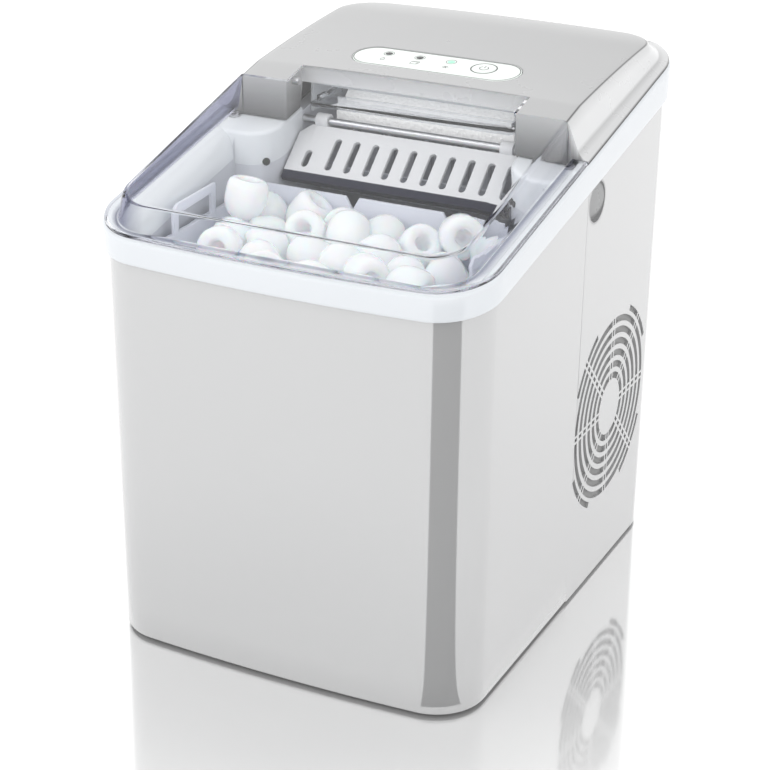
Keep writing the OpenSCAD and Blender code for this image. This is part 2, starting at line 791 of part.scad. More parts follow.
module ice_basket() {
    top = basket_z + basket_h;
    color("lavender") difference() {
        union() {
            translate([0, 0, basket_z]) linear_extrude(basket_h) difference() {
                basket_plan(0);
                basket_plan(basket_wall);
            }
            translate([0, 0, basket_z]) linear_extrude(basket_wall) basket_plan(0);
            translate([0, 0, top - 2]) linear_extrude(2) difference() {
                basket_plan(-1.5);
                basket_plan(basket_wall);
            }
            translate([basket_r - basket_x2 + 3, basket_rear - basket_wall, top])
                cube([2 * (basket_x2 - basket_r - 3), basket_wall, rail_h]);
            for (s = [-1, 1]) basket_loop(s, top);
        }
        for (x = [-72 : 12 : 72]) translate([x, (basket_front + basket_rear) / 2, basket_z - 1])
            linear_extrude(basket_wall + 2)
                round_rect(-basket_slot / 2, -46, basket_slot / 2, 46, basket_slot / 2 - 0.1);
        for (x = [-19, 44]) translate([x, basket_rear - 5, top + rail_h]) rotate([-90, 0, 0]) linear_extrude(10)
            polygon([[-5, -1], [5, -1], [0, 8]]);
        for (x = [-66 : 22 : 66]) translate([x, basket_front - 5, basket_z + 16]) rotate([-90, 0, 0])
            linear_extrude(10) round_rect(-2, -basket_h + 40, 2, 0, 1.9);
    }
}

// Grip on the basket's side: an open trapezoid of flat bar that stands on the rim
module basket_loop(s, z) {
    x0 = s > 0 ? basket_x2 - basket_wall : -basket_x2;
    along_x(x0, x0 + basket_wall) translate([loop_y, z - 0.5]) difference() {
        polygon([[-loop_w / 2, 0], [loop_w / 2, 0], [loop_w / 2, loop_h], [5 - loop_w / 2, loop_h - 1],
            [-loop_w / 2, loop_h - 4]]);
        polygon([[loop_bar - loop_w / 2, -1], [loop_w / 2 - loop_bar, -1],
            [loop_w / 2 - loop_bar, loop_h - loop_bar], [loop_bar - loop_w / 2, loop_h - loop_bar - 2]]);
    }
}

// Frame of the shovel: origin on its rod, +Y down the plate
module at_shovel() {
    translate([0, rod_y, rod_z]) rotate([180 + plate_drop, 0, 0]) children();
}

// Slotted plate that hangs from the rod by open barrels and slopes towards the basket
module ice_shovel() {
    color("white") at_shovel() difference() {
        union() {
            translate([-plate_x2, 4, -plate_t / 2 + 1]) cube([2 * plate_x2, shovel_l - 4, plate_t]);
            for (x = [-61, 61]) {
                translate([x - 4, 0, 0]) rotate([0, 90, 0]) cylinder(h = 8, r = rod_r + 2);
                translate([x - 4, 0, -0.2]) cube([8, 12, 2.4]);
            }
            translate([-plate_x2, shovel_l - 2, -0.2]) cube([2 * plate_x2, 2, 4.6]);
        }
        rotate([0, 90, 0]) translate([0, 0, -BIG]) cylinder(h = 2 * BIG, r = rod_r + rod_fit);
        for (i = [0 : slot_n - 1]) translate([slot_x0 + i * slot_pitch, 0, -10]) linear_extrude(20)
            round_rect(-slot_w / 2, shovel_l - 9 - slot_l, slot_w / 2, shovel_l - 9, slot_w / 2 - 0.1);
        translate([slot_x0 - 16, 0, -10]) linear_extrude(20)
            round_rect(-slot_w / 2, shovel_l - 21, slot_w / 2, shovel_l - 9, slot_w / 2 - 0.1);
        for (s = [-1, 1]) translate([s * plate_x2, 4, 0]) rotate(45) cube([9, 9, 20], center = true);
    }
}

module shovel_rod() {
    color("silver") rod_x(-chamber_w2 - tub_wall, chamber_w2 + tub_wall, rod_y, rod_z, rod_r);
}

// Half-round trough that turns about the axis of its own curve, so its walls pass around the fingers
module water_tray() {
    out = tray_r + tray_wall;
    color("whitesmoke") difference() {
        union() {
            difference() {
                rod_x(-tray_x2, tray_x2, tray_y, tray_z, out);
                rod_x(tray_wall - tray_x2, tray_x2 - tray_wall, tray_y, tray_z, tray_r);
                side_prism([[tray_y, tray_z], [tray_y - BIG, tray_z - BIG / tan(tray_half_arc)],
                    [tray_y - BIG, BIG], [tray_y + BIG, BIG], [tray_y + BIG, tray_z - BIG / tan(tray_half_arc)]]);
            }
            for (s = [-1, 1]) rod_x(s > 0 ? tray_x2 - tray_wall : -tray_x2, s > 0 ? tray_x2 : tray_wall - tray_x2,
                tray_y, tray_z, 6);
        }
        rod_x(-BIG, BIG, tray_y, tray_z, shaft_r);
    }
}

module tray_shaft() {
    color("silver") {
        rod_x(-chamber_w2 - tub_wall - 12, tray_wall - tray_x2, tray_y, tray_z, shaft_r);
        rod_x(tray_x2 - tray_wall, chamber_w2 + tub_wall + 3, tray_y, tray_z, shaft_r);
    }
}

module tray_motor() {
    x1 = -chamber_w2 - tub_wall;
    color("dimgray") difference() {
        union() {
            translate([x1 - 16, tray_y - 18, tray_z - 18]) cube([16, 38, 36]);
            rod_x(x1 - 26, x1 - 16, tray_y + 4, tray_z, 12);
            for (y = [tray_y - 22, tray_y + 24]) rod_x(x1 - 3, x1, y, tray_z, 4);
            translate([x1 - 3, tray_y - 22, tray_z - 4]) cube([3, 46, 8]);
        }
        rod_x(x1 - 13, x1 + 1, tray_y, tray_z, shaft_r + shaft_fit);
    }
}

// ---- freezing unit ----

module evaporator_body() {
    color("lightgray") difference() {
        union() {
            side_prism([[evap_y0, evap_z0], [evap_y1, evap_z0], [evap_y1, evap_z0 + evap_h],
                [evap_y0 + 7, evap_z0 + evap_h], [evap_y0, evap_z0 + evap_h - 6]], 2 * evap_x2);
            translate([-evap_x2 - 3, evap_y0 - 2.5, skirt_plate_z]) cube([2 * evap_x2 + 6, 1.5, 14]);
            translate([-evap_x2, evap_y0 - 1.5, evap_z0]) cube([2 * evap_x2, 2, 3]);
            for (x = [-48, 48]) translate([x - 4, evap_y1 - 8, evap_z0 + evap_h - EPS])
                cube([8, 8, roof_z - evap_z0 - evap_h + EPS]);
        }
        for (x = finger_x(true)) translate([x, tray_y - finger_row, evap_z0 - 1]) cylinder(h = 6, r = finger_r);
        for (x = finger_x(false)) translate([x, tray_y + finger_row, evap_z0 - 1]) cylinder(h = 6, r = finger_r);
    }
}

function finger_x(front) = front
    ? [for (i = [0 : front_fingers - 1]) (i - (front_fingers - 1) / 2) * finger_pitch]
    : [for (i = [0 : front_fingers - 2]) (i - (front_fingers - 2) / 2) * finger_pitch];

module finger(x, y) {
    translate([x, y, finger_tip]) rotate_extrude() polygon(concat(
        [for (a = [0 : 15 : 90]) [finger_r * sin(a), finger_r * (1 - cos(a))]],
        [[finger_r, evap_z0 + 5 - finger_tip], [0, evap_z0 + 5 - finger_tip]]));
}

module freezing_fingers() {
    color("silver") {
        for (x = finger_x(true)) finger(x, tray_y - finger_row);
        for (x = finger_x(false)) finger(x, tray_y + finger_row);
    }
}

// Clear drip shield in front of the evaporator, with upturned round ends
module evaporator_shield() {
    color("lightcyan", 0.5) {
        translate([0, 0, shield_z]) linear_extrude(1.6) round_rect(-67, 12, 67, evap_y0 - 1, 5);
        for (s = [-1, 1]) translate([s > 0 ? 63 : -65, 20, shield_z]) cube([2, evap_y0 + 12 - 20, 5]);
        for (s = [-1, 1]) translate([s > 0 ? 63 : -65, evap_y0 + 8, shield_z]) cube([2, 5, roof_z - shield_z]);
    }
}

module ice_level_sensors() {
    color("black") for (s = [-1, 1]) sensor_place(s) translate([0, 0, -8]) cylinder(h = 8.6, r = sensor_r);
}

module water_level_sensor() {
    color("white") translate([0, chamber_y1, chamber_floor + sensor_h]) rotate([-90, 0, 0]) {
        translate([0, 0, tub_wall]) cylinder(h = 6, r = sensor_cap_r);
        cylinder(h = tub_wall, r = 5);
        translate([0, 0, -9]) cylinder(h = 9, r = 3);
        translate([-7, -1.5, -26]) cube([14, 3, 18]);
    }
}

module water_pump() {
    color("dimgray") {
        translate([pump_x, pump_y, bay_z]) cylinder(h = 6, r = pump_r + 4);
        translate([pump_x, pump_y, bay_z + 6]) cylinder(h = 30, r = pump_r);
        translate([pump_x, pump_y, bay_z + 36]) cylinder(h = 8, r = pump_r - 5);
        pipe([[pump_x, pump_y, bay_z + 40], [pump_x, pump_y, bay_z + pump_h]], 3);
        pipe([[pump_x - pump_r + 2, pump_y, bay_z + 20], [pump_x - pump_r - 10, pump_y, bay_z + 20]], 3);
    }
}

module pump_hose() {
    port_z = bay_z + 20;
    port_x = pump_x - pump_r - 10;
    run_z = chamber_floor - 14;
    color("gainsboro") {
        pipe([[port_x, pump_y, port_z], [port_x - 6, pump_y, port_z], [port_x - 6, intake_y, port_z],
            [pump_x, intake_y, port_z], [pump_x, intake_y, tub_floor - tub_wall]], hose_r);
        pipe([[pump_x, pump_y, bay_z + pump_h], [pump_x, pump_y, run_z], [fill_x, chamber_y1 + 22, run_z],
            [fill_x, chamber_y1 + 22, fill_z], [fill_x, chamber_y1 - 1, fill_z]], hose_r);
    }
}

// ---- refrigeration bay ----

module compressor() {
    color("black") {
        translate([comp_x, comp_y, comp_z0]) rotate_extrude($fn = 64)
            polygon(concat(
                [[0, 0]],
                [for (a = [0 : 10 : 90]) [comp_r - 12 * (1 - sin(a)), 12 * (1 - cos(a))]],
                [for (a = [0 : 10 : 90]) [comp_r - 24 * (1 - cos(a)), comp_z1 - comp_z0 - 24 * (1 - sin(a))]],
                [[0, comp_z1 - comp_z0]]));
        translate([comp_x, comp_y, comp_z0 + (comp_z1 - comp_z0) * 0.55]) rotate_extrude($fn = 64)
            translate([comp_r - 2, 0]) square([3.5, 4]);
        difference() {
            for (a = [30 : 120 : 270]) translate([comp_x, comp_y, comp_z0]) rotate(a)
                translate([comp_r - 14, -10, 0]) cube([grommet_pcd / 2 - comp_r + 24, 20, 3]);
            for (a = [30 : 120 : 270]) translate([comp_x, comp_y, comp_z0 - 5]) rotate(a)
                translate([grommet_pcd / 2, 0, 0]) cylinder(h = 10, r = 3);
        }
        translate([comp_x - 14, comp_y - comp_r - 10, comp_z0 + 50]) cube([28, 14, 34]);
    }
}

module compressor_grommets() {
    color("dimgray") for (a = [30 : 120 : 270]) translate([comp_x, comp_y, pan_z + 5]) rotate(a)
        translate([grommet_pcd / 2, 0, 0]) difference() {
            cylinder(h = comp_z0 - pan_z - 5, r = grommet_r);
            translate([0, 0, -1]) cylinder(h = 30, r = 2.6);
        }
}

module compressor_bolts() {
    color("silver") for (a = [30 : 120 : 270]) translate([comp_x, comp_y, 0]) rotate(a)
        translate([grommet_pcd / 2, 0, 0]) {
            translate([0, 0, pan_z]) cylinder(h = comp_z0 + 3 - pan_z, r = 2.5);
            translate([0, 0, comp_z0 + 3]) cylinder(h = 3.5, r = 5.5);
        }
}

module condenser_fins() {
    color("silver") {
        difference() {
            for (i = [0 : fin_n - 1])
                translate([coil_x0, fan_y - coil_w / 2 + 4 + i * (coil_w - 8) / (fin_n - 1), fan_z - coil_h / 2])
                cube([coil_t, fin_t, coil_h]);
            coil_rods(coil_r);
        }
        for (s = [-1, 1]) difference() {
            translate([coil_x0 - 1, fan_y + s * coil_w / 2 - 1, bay_z])
                cube([coil_t + 2, 2, fan_z - bay_z + coil_h / 2]);
            coil_rods(coil_r);
        }
    }
}

// Straight runs of the condenser's tube along Y, in two staggered columns
module coil_rods(r) {
    for (i = [0 : 7], c = [0, 1])
        translate([coil_x0 + 6 + 8 * c, fan_y - coil_w / 2 - 6, fan_z - 38 + i * 10.5 + 3 * c])
        rotate([-90, 0, 0]) cylinder(h = coil_w + 12, r = r, $fn = 24);
}

module condenser_tubes() {
    color("peru") {
        coil_rods(coil_r);
        for (i = [0 : 7], e = [-1, 1])
            pipe([[coil_x0 + 3, fan_y + e * (coil_w / 2 + 4), fan_z - 39.2 + i * 10.5],
                [coil_x0 + 17, fan_y + e * (coil_w / 2 + 4), fan_z - 33.9 + i * 10.5]], coil_r + 0.6);
    }
}

module fan_shroud() {
    color("dimgray") difference() {
        union() {
            translate([shroud_x, fan_y - 50, bay_z]) cube([3, 100, fan_z + 50 - bay_z]);
            translate([shroud_x, fan_y - 50, bay_z]) cube([20, 100, 3]);
        }
        rod_x(shroud_x - 1, shroud_x + 6, fan_y, fan_z, fan_r + 2);
    }
    color("dimgray") {
        for (a = [45, 135]) translate([shroud_x, fan_y, fan_z]) rotate([a, 0, 0])
            translate([0, -fan_r - 3, -3]) cube([3, 2 * fan_r + 6, 6]);
        rod_x(shroud_x, shroud_x + 4, fan_y, fan_z, motor_r);
    }
}

module fan_motor() {
    color("black") {
        rod_x(motor_x, motor_x + motor_l, fan_y, fan_z, motor_r);
        rod_x(motor_x + motor_l, fan_x + hub_l - 2, fan_y, fan_z, 2);
    }
}

module fan() {
    color("gray") difference() {
        union() {
            rod_x(fan_x, fan_x + hub_l, fan_y, fan_z, hub_r);
            for (i = [0 : fan_blades - 1])
                translate([fan_x + hub_l / 2, fan_y, fan_z]) rotate([i * 360 / fan_blades, 0, 0])
                intersection() {
                    translate([0, 0, hub_r - 3]) rotate([0, 0, 38]) translate([-1, -17, 0]) cube([2, 34, fan_r]);
                    rod_x(0.6 - hub_l / 2, hub_l / 2 - 0.6, 0, 0, fan_r);
                }
        }
        rod_x(fan_x - 1, fan_x + hub_l - 2 + 0.3, fan_y, fan_z, 2.05);
    }
}

// Fine screen that lies against the wall behind the side vent, between the shell's lap and its rear corner
module dust_screen() {
    color("lightgray") intersection() {
        rod_x(side_x - shell_wall - screen_t, side_x - shell_wall, fan_y, fan_z, screen_r);
        translate([0, seam_y + 3.2, 0]) cube([BIG, rear_y - rim_r - seam_y - 3.4, BIG]);
    }
}

module filter_drier() {
    color("peru") translate([drier_x, drier_y, drier_z]) rotate_extrude()
        polygon([[0, 0], [3, 0], [3, 6], [8, 14], [8, 62], [3, 70], [3, drier_h], [0, drier_h]]);
}

module hot_gas_valve() {
    color("gold") translate([valve_x, valve_y, chamber_floor + 20]) {
        cylinder(h = 26, r = 5);
        translate([-9, -9, 6]) cube([18, 18, 14]);
    }
}

module refrigerant_pipes() {
    port_z = evap_z0 + 5;
    low_z = chamber_floor + 4;
    back_y = chamber_y1 + 22;
    color("peru") {
        pipe([[comp_x + 12, comp_y - 8, comp_z1], [comp_x + 12, comp_y - 8, chamber_floor - 10],
            [drier_x, drier_y, chamber_floor - 10], [drier_x, drier_y, drier_z + drier_h]], pipe_r);
        pipe([[drier_x, drier_y, drier_z], [drier_x, drier_y, drier_z - 6], [coil_x0 + 6, drier_y, drier_z - 6],
            [coil_x0 + 6, drier_y, fan_z - 38], [coil_x0 + 6, fan_y + coil_w / 2 + 8.6, fan_z - 38]], pipe_r);
        pipe([[valve_x, valve_y, chamber_floor + 46], [valve_x, valve_y, port_z], [-evap_port_x, valve_y, port_z],
            [-evap_port_x, evap_y1, port_z]], pipe_r);
        pipe([[valve_x, valve_y, chamber_floor + 20], [valve_x, valve_y, low_z], [comp_x + 6, valve_y, low_z],
            [comp_x + 6, comp_y + 8, low_z], [comp_x + 6, comp_y + 8, comp_z1]], pipe_r);
        pipe([[evap_port_x, evap_y1, port_z], [evap_port_x, back_y, port_z], [evap_port_x, back_y, low_z + 10],
            [comp_x - 10, back_y, low_z + 10], [comp_x - 10, back_y, comp_z1]], pipe_r);
    }
}

// Mains inlet in the rear panel: a flanged socket with three blades and no lead
module power_inlet() {
    color("black") translate([inlet_x, rear_face, inlet_z]) rotate([90, 0, 0]) {
        difference() {
            union() {
                translate([0, 0, -1.6]) linear_extrude(1.6) round_rect(-18, -13, 18, 13, 3);
                linear_extrude(20) round_rect(-13.8, -9.8, 13.8, 9.8, 2.8);
            }
            translate([0, 0, -2]) linear_extrude(15) round_rect(-12, -8, 12, 8, 2);
        }
    }
    color("silver") for (p = [[-7, -2], [0, 2], [7, -2]])
        translate([inlet_x + p[0] - 1, rear_face - 15, inlet_z + p[1] - 2]) cube([2, 12, 4]);
}

// ---- drain ----

module drain_spout() {
    color("white") difference() {
        union() {
            rod_x(-side_x - 1.2, -side_x, drain_y, drain_z, flange_r);
            rod_x(-side_x, 16 - side_x, drain_y, drain_z, spout_r);
            rod_x(16 - side_x, 26 - side_x, drain_y, drain_z, barb_r);
        }
        rod_x(-side_x - 3, 12 - side_x, drain_y, drain_z, plug_r + 0.3);
        rod_x(11 - side_x, 30 - side_x, drain_y, drain_z, 2.5);
    }
}

module drain_hose() {
    color("gainsboro") difference() {
        pipe([[20 - side_x, drain_y, drain_z], [38 - side_x, drain_y, drain_z],
            [drain_hole_x, drain_hole_y, drain_z + 14],
            [drain_hole_x, drain_hole_y, tub_floor - tub_wall]], barb_r + 1);
        rod_x(10 - side_x, 26 - side_x, drain_y, drain_z, barb_r);
    }
}

// Push-in plug of the drain, with a finger grip across its head
module drain_plug() {
    color("lightgray") {
        rod_x(-side_x - 2, 8 - side_x, drain_y, drain_z, plug_r);
        rod_x(-side_x - 2.8, -side_x - 1.5, drain_y, drain_z, flange_r - 1.5);
    }
}

base_pan();
feet();
front_shell();
rear_shell();
side_grips();
top_frame();
frame_screws();
shell_screws();
tub_liner();
foam_jacket();
chamber_roof();
top_cover();
panel_overlay();
indicator_lenses();
power_button();
display_board();
control_board();
lid();
lid_hinge_pins();
ice_basket();
ice_shovel();
shovel_rod();
water_tray();
tray_shaft();
tray_motor();
evaporator_body();
freezing_fingers();
evaporator_shield();
ice_level_sensors();
water_level_sensor();
water_pump();
pump_hose();
compressor();
compressor_grommets();
compressor_bolts();
condenser_fins();
condenser_tubes();
fan_shroud();
fan_motor();
fan();
dust_screen();
filter_drier();
hot_gas_valve();
refrigerant_pipes();
power_inlet();
drain_spout();
drain_hose();
drain_plug();
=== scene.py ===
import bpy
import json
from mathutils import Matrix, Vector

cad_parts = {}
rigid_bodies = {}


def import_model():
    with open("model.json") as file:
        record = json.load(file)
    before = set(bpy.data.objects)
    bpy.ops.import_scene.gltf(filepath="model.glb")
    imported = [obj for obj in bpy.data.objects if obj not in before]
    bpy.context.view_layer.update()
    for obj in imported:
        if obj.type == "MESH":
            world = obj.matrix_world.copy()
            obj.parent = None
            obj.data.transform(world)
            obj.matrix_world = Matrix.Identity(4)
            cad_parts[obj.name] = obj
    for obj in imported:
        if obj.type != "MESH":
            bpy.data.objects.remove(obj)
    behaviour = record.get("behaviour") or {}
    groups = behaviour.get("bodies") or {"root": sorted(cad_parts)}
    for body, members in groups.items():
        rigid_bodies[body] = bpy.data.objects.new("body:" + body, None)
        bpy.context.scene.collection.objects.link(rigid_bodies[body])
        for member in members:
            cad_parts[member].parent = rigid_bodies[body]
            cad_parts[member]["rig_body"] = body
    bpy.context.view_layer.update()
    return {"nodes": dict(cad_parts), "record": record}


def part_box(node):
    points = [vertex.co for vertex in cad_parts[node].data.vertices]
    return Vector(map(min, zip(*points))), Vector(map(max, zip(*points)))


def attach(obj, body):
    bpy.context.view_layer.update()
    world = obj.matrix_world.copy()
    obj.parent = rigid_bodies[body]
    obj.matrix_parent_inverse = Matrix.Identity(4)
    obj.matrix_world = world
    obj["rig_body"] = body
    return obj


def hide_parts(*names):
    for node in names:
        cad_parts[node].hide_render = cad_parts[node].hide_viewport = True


bl_info = {
    "name": "Countertop ice maker looks",
    "version": (1, 0, 0),
    "blender": (4, 5, 0),
    "location": "3D View > Sidebar > Ice maker",
    "description": "Builds the skins, the ice, the finishes and the stage around the ice maker's packed frame",
    "category": "Object",
}

import json
import math

import bmesh
import bpy
import numpy as np
from bpy.props import FloatProperty, FloatVectorProperty, IntProperty, PointerProperty
from mathutils import Matrix, Vector

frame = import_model()
SLOTS = {row["node"]: row["material_slot"] for row in frame["record"]["subparts"]}

MM = 0.001
RIM_LOW, RIM_HIGH = (np.array(c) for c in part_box("top_frame"))
HALF_W, FRONT_Y, REAR_Y = RIM_HIGH[0], RIM_LOW[1], RIM_HIGH[1]
TOP_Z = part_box("top_cover")[1].z
PART_Z0, BAND_Z0, LID_Z0 = TOP_Z - 41.5 * MM, TOP_Z - 59 * MM, TOP_Z - 16.7 * MM
PART_RISE, BAND_RISE = 0.205, 0.185
SEAM_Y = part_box("front_shell")[1].y
NOTCH_Y = 19.2 * MM
EAR_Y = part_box("top_cover")[0].y
TONGUE_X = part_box("lid_hinge_pins")[1].x - 4.2 * MM


# ---- sloping lines ----

def part_z(y):
    """Height of the joint between rim and lid: one straight line that climbs towards the rear."""
    return PART_Z0 + PART_RISE * y


def band_z(y):
    """Height of the white band's lower edge: a straight line, a little flatter than the joint's."""
    return BAND_Z0 + BAND_RISE * y


def lid_z(y):
    """Height of the lid's top: a straight line that is slightly flatter behind the hinge line than ahead of it."""
    return LID_Z0 + np.where(y < 0, 0.26, 0.235) * y


def crest_z(y):
    """Height of the cover's middle line: the lid's line, then a parabola that levels off at the rear."""
    run = REAR_Y - 7.5 * MM - NOTCH_Y
    t = np.clip((y - NOTCH_Y) / run, 0, 1)
    start = LID_Z0 + 0.235 * NOTCH_Y
    return np.where(y < NOTCH_Y, lid_z(y), start + (TOP_Z - start) * (1.5 * t - 0.5 * t * t))


# ---- sizes and colours that a user would change ----

def length(name, description, value):
    """One length property, kept in metres."""
    return FloatProperty(name=name, description=description, default=value, unit="LENGTH")


class IceMakerSizes(bpy.types.PropertyGroup):
    rim_radius: length("Rim radius", "Corner radius of the rim in plan", 34 * MM)
    front_bow: length("Front bow", "How far the front bows forward at its middle", 2.7 * MM)
    panel_step: length("Panel step", "Step from the rim in to the body panels", 2.8 * MM)
    panel_wall: length("Panel wall", "Thickness of the body panels", 2.0 * MM)
    panel_taper: FloatProperty(name="Panel taper", description="Share that the body narrows by at its foot",
                               default=0.0144)
    lid_wall: length("Lid wall", "Thickness of the clear lid", 2.2 * MM)
    lid_half_width: length("Lid half width", "From the middle to the lid's side crease", 105.5 * MM)
    lid_corner: length("Lid corner", "Corner radius of the lid's crease in plan", 21 * MM)
    cover_wall: length("Cover wall", "Thickness of the top cover", 1.6 * MM)
    cover_crown: length("Cover crown", "How far the cover's middle stands above its side creases", 1.6 * MM)
    cover_corner: length("Cover corner", "Radius of the cover's rear corners at the crease", 24 * MM)
    panel_length: length("Panel length", "Length of the control panel", 109.4 * MM)
    panel_width: length("Panel width", "Width of the control panel", 28.4 * MM)
    bullet_radius: length("Ice radius", "Radius of one piece of ice", 13.0 * MM)
    bullet_length: length("Ice length", "Length of one piece of ice", 26.0 * MM)
    bullet_count: IntProperty(name="Ice count", description="Pieces of ice in the basket", default=128,
                              min=1, max=200)


def colour(name, description, value):
    """One colour property in scene-linear red, green and blue."""
    return FloatVectorProperty(name=name, description=description, subtype="COLOR", size=3, min=0, max=1,
                               default=value)


class IceMakerColours(bpy.types.PropertyGroup):
    silver: colour("Silver", "Painted panels of the body", (0.54, 0.542, 0.545))
    cover: colour("Cover", "Silver plastic of the cover", (0.325, 0.327, 0.33))
    white: colour("White", "Gloss plastic of the rim", (0.68, 0.705, 0.735))
    liner: colour("Liner", "Plastic of the tub", (0.54, 0.555, 0.60))
    basket: colour("Basket", "Milky plastic of the basket", (0.82, 0.84, 0.92))
    shovel: colour("Shovel", "White plastic of the shovel", (0.66, 0.665, 0.68))
    navy: colour("Lid edge", "Deep tint of the clear lid at its edges", (0.06, 0.07, 0.19))
    mint: colour("Mint", "Overlay of the control panel", (0.80, 0.86, 0.82))
    lit: colour("Lit lamp", "The lamp that is on", (0.30, 0.72, 0.50))
    floor: colour("Floor", "Floor under the ice maker", (0.86, 0.86, 0.86))


def sizes():
    return bpy.context.scene.ice_maker_sizes


def colours():
    return bpy.context.scene.ice_maker_colours


# ---- meshes from arrays ----

def grid_faces(rows, columns, wrap_rows=False, wrap_columns=False):
    """Quads of a grid whose vertices are numbered row by row; either direction may close on itself."""
    index = np.arange(rows * columns).reshape(rows, columns)
    if wrap_rows:
        index = np.vstack([index, index[:1]])
    if wrap_columns:
        index = np.hstack([index, index[:, :1]])
    return np.stack([index[:-1, :-1], index[:-1, 1:], index[1:, 1:], index[1:, :-1]], -1).reshape(-1, 4)


def bake(piece):
    """Applies the piece's modifiers by taking its evaluated mesh."""
    bpy.context.view_layer.update()
    done = bpy.data.meshes.new_from_object(piece.evaluated_get(bpy.context.evaluated_depsgraph_get()))
    piece.modifiers.clear()
    piece.data = done


def add_piece(name, points, faces, material, body, replaces=(), thickness=0.0, bevel=0.0, sharp=35,
              segments=2, up=None, attribute=None, lets_light=False):
    """A mesh object from arrays of points and faces, with doubles merged and normals turned outward.
    thickness grows a wall inward from the surface, bevel rounds edges over 35 degrees, up is a direction
    that the surface faces on average, attribute is (name, value at each point), and lets_light keeps a clear
    piece from shading what is behind it."""
    mesh = bpy.data.meshes.new(name)
    points = np.asarray(points, float).reshape(-1, 3)
    faces = np.asarray(faces)
    mesh.vertices.add(len(points))
    mesh.vertices.foreach_set("co", points.ravel())
    mesh.loops.add(faces.size)
    mesh.loops.foreach_set("vertex_index", faces.ravel())
    mesh.polygons.add(len(faces))
    mesh.polygons.foreach_set("loop_start", np.arange(0, faces.size, faces.shape[1]))
    mesh.update(calc_edges=True)
    if attribute:
        mesh.attributes.new(attribute[0], "FLOAT", "POINT").data.foreach_set(
            "value", np.asarray(attribute[1], np.float32).ravel())
    piece = bpy.data.objects.new(name, mesh)
    bpy.context.scene.collection.objects.link(piece)
    edit = bmesh.new()
    edit.from_mesh(mesh)
    bmesh.ops.remove_doubles(edit, verts=edit.verts, dist=2e-6)
    bmesh.ops.dissolve_degenerate(edit, edges=edit.edges, dist=2e-6)
    loose = [v for v in edit.verts if not v.link_faces]
    bmesh.ops.delete(edit, geom=loose, context="VERTS")
    bmesh.ops.recalc_face_normals(edit, faces=edit.faces)
    if up is not None:
        facing = sum((f.normal * f.calc_area() for f in edit.faces), Vector()).dot(Vector(up))
        if facing < 0:
            bmesh.ops.reverse_faces(edit, faces=edit.faces)
    edit.to_mesh(mesh)
    edit.free()
    finish_piece(piece, material, body, replaces, thickness, bevel, sharp, segments)
    piece.visible_shadow = piece.visible_diffuse = not lets_light
    return piece


def finish_piece(piece, material, body, replaces, thickness, bevel, sharp, segments):
    """Wall, rounded edges, shading, material and place in the frame for a new piece."""
    piece.data.shade_smooth()
    if thickness:
        wall = piece.modifiers.new("wall", "SOLIDIFY")
        wall.thickness, wall.offset, wall.use_even_offset, wall.use_quality_normals = thickness, -1, False, True
        bake(piece)
    if bevel:
        edge = piece.modifiers.new("edge", "BEVEL")
        edge.width, edge.segments, edge.limit_method = bevel, segments, "ANGLE"
        edge.angle_limit, edge.use_clamp_overlap, edge.miter_outer = math.radians(35), True, "MITER_ARC"
        bake(piece)
    piece.data.set_sharp_from_angle(angle=math.radians(sharp))
    piece.data.materials.clear()
    piece.data.materials.append(material)
    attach(piece, body)
    if replaces:
        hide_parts(*replaces)


def taper(points):
    """Scales points about the body's upright axis: full size at the band, narrower by panel_taper at the floor."""
    scale = 1 - sizes().panel_taper * np.clip(1 - points[:, 2:3] / BAND_Z0, 0, 1)
    points = points.copy()
    points[:, :2] *= scale
    return points


def merged_copy(node, name, material, bevel=0.0, tapered=False, sharp=35, shape=None, cut_y=None, segments=2):
    """A welded copy of a frame node: doubles merged, flat areas joined, an optional change of its points
    given by shape(points), and bevelled edges. It stands for the node."""
    source = frame["nodes"][node]
    edit = bmesh.new()
    edit.from_mesh(source.data)
    bmesh.ops.remove_doubles(edit, verts=edit.verts, dist=1e-6)
    bmesh.ops.dissolve_limit(edit, angle_limit=math.radians(0.5), verts=edit.verts, edges=edit.edges)
    if cut_y is not None:
        bmesh.ops.bisect_plane(edit, geom=edit.verts[:] + edit.edges[:] + edit.faces[:],
                               plane_co=(0, cut_y, 0), plane_no=(0, 1, 0))
    mesh = bpy.data.meshes.new(name)
    edit.to_mesh(mesh)
    edit.free()
    points = np.empty(len(mesh.vertices) * 3, np.float32)
    mesh.vertices.foreach_get("co", points)
    points = points.reshape(-1, 3).astype(float)
    if tapered:
        points = taper(points)
    if shape:
        points = shape(points)
    mesh.vertices.foreach_set("co", points.astype(np.float32).ravel())
    mesh.update()
    piece = bpy.data.objects.new(name, mesh)
    bpy.context.scene.collection.objects.link(piece)
    body = source["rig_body"]
    finish_piece(piece, material, body, [node], 0, bevel, sharp, segments)
    return piece


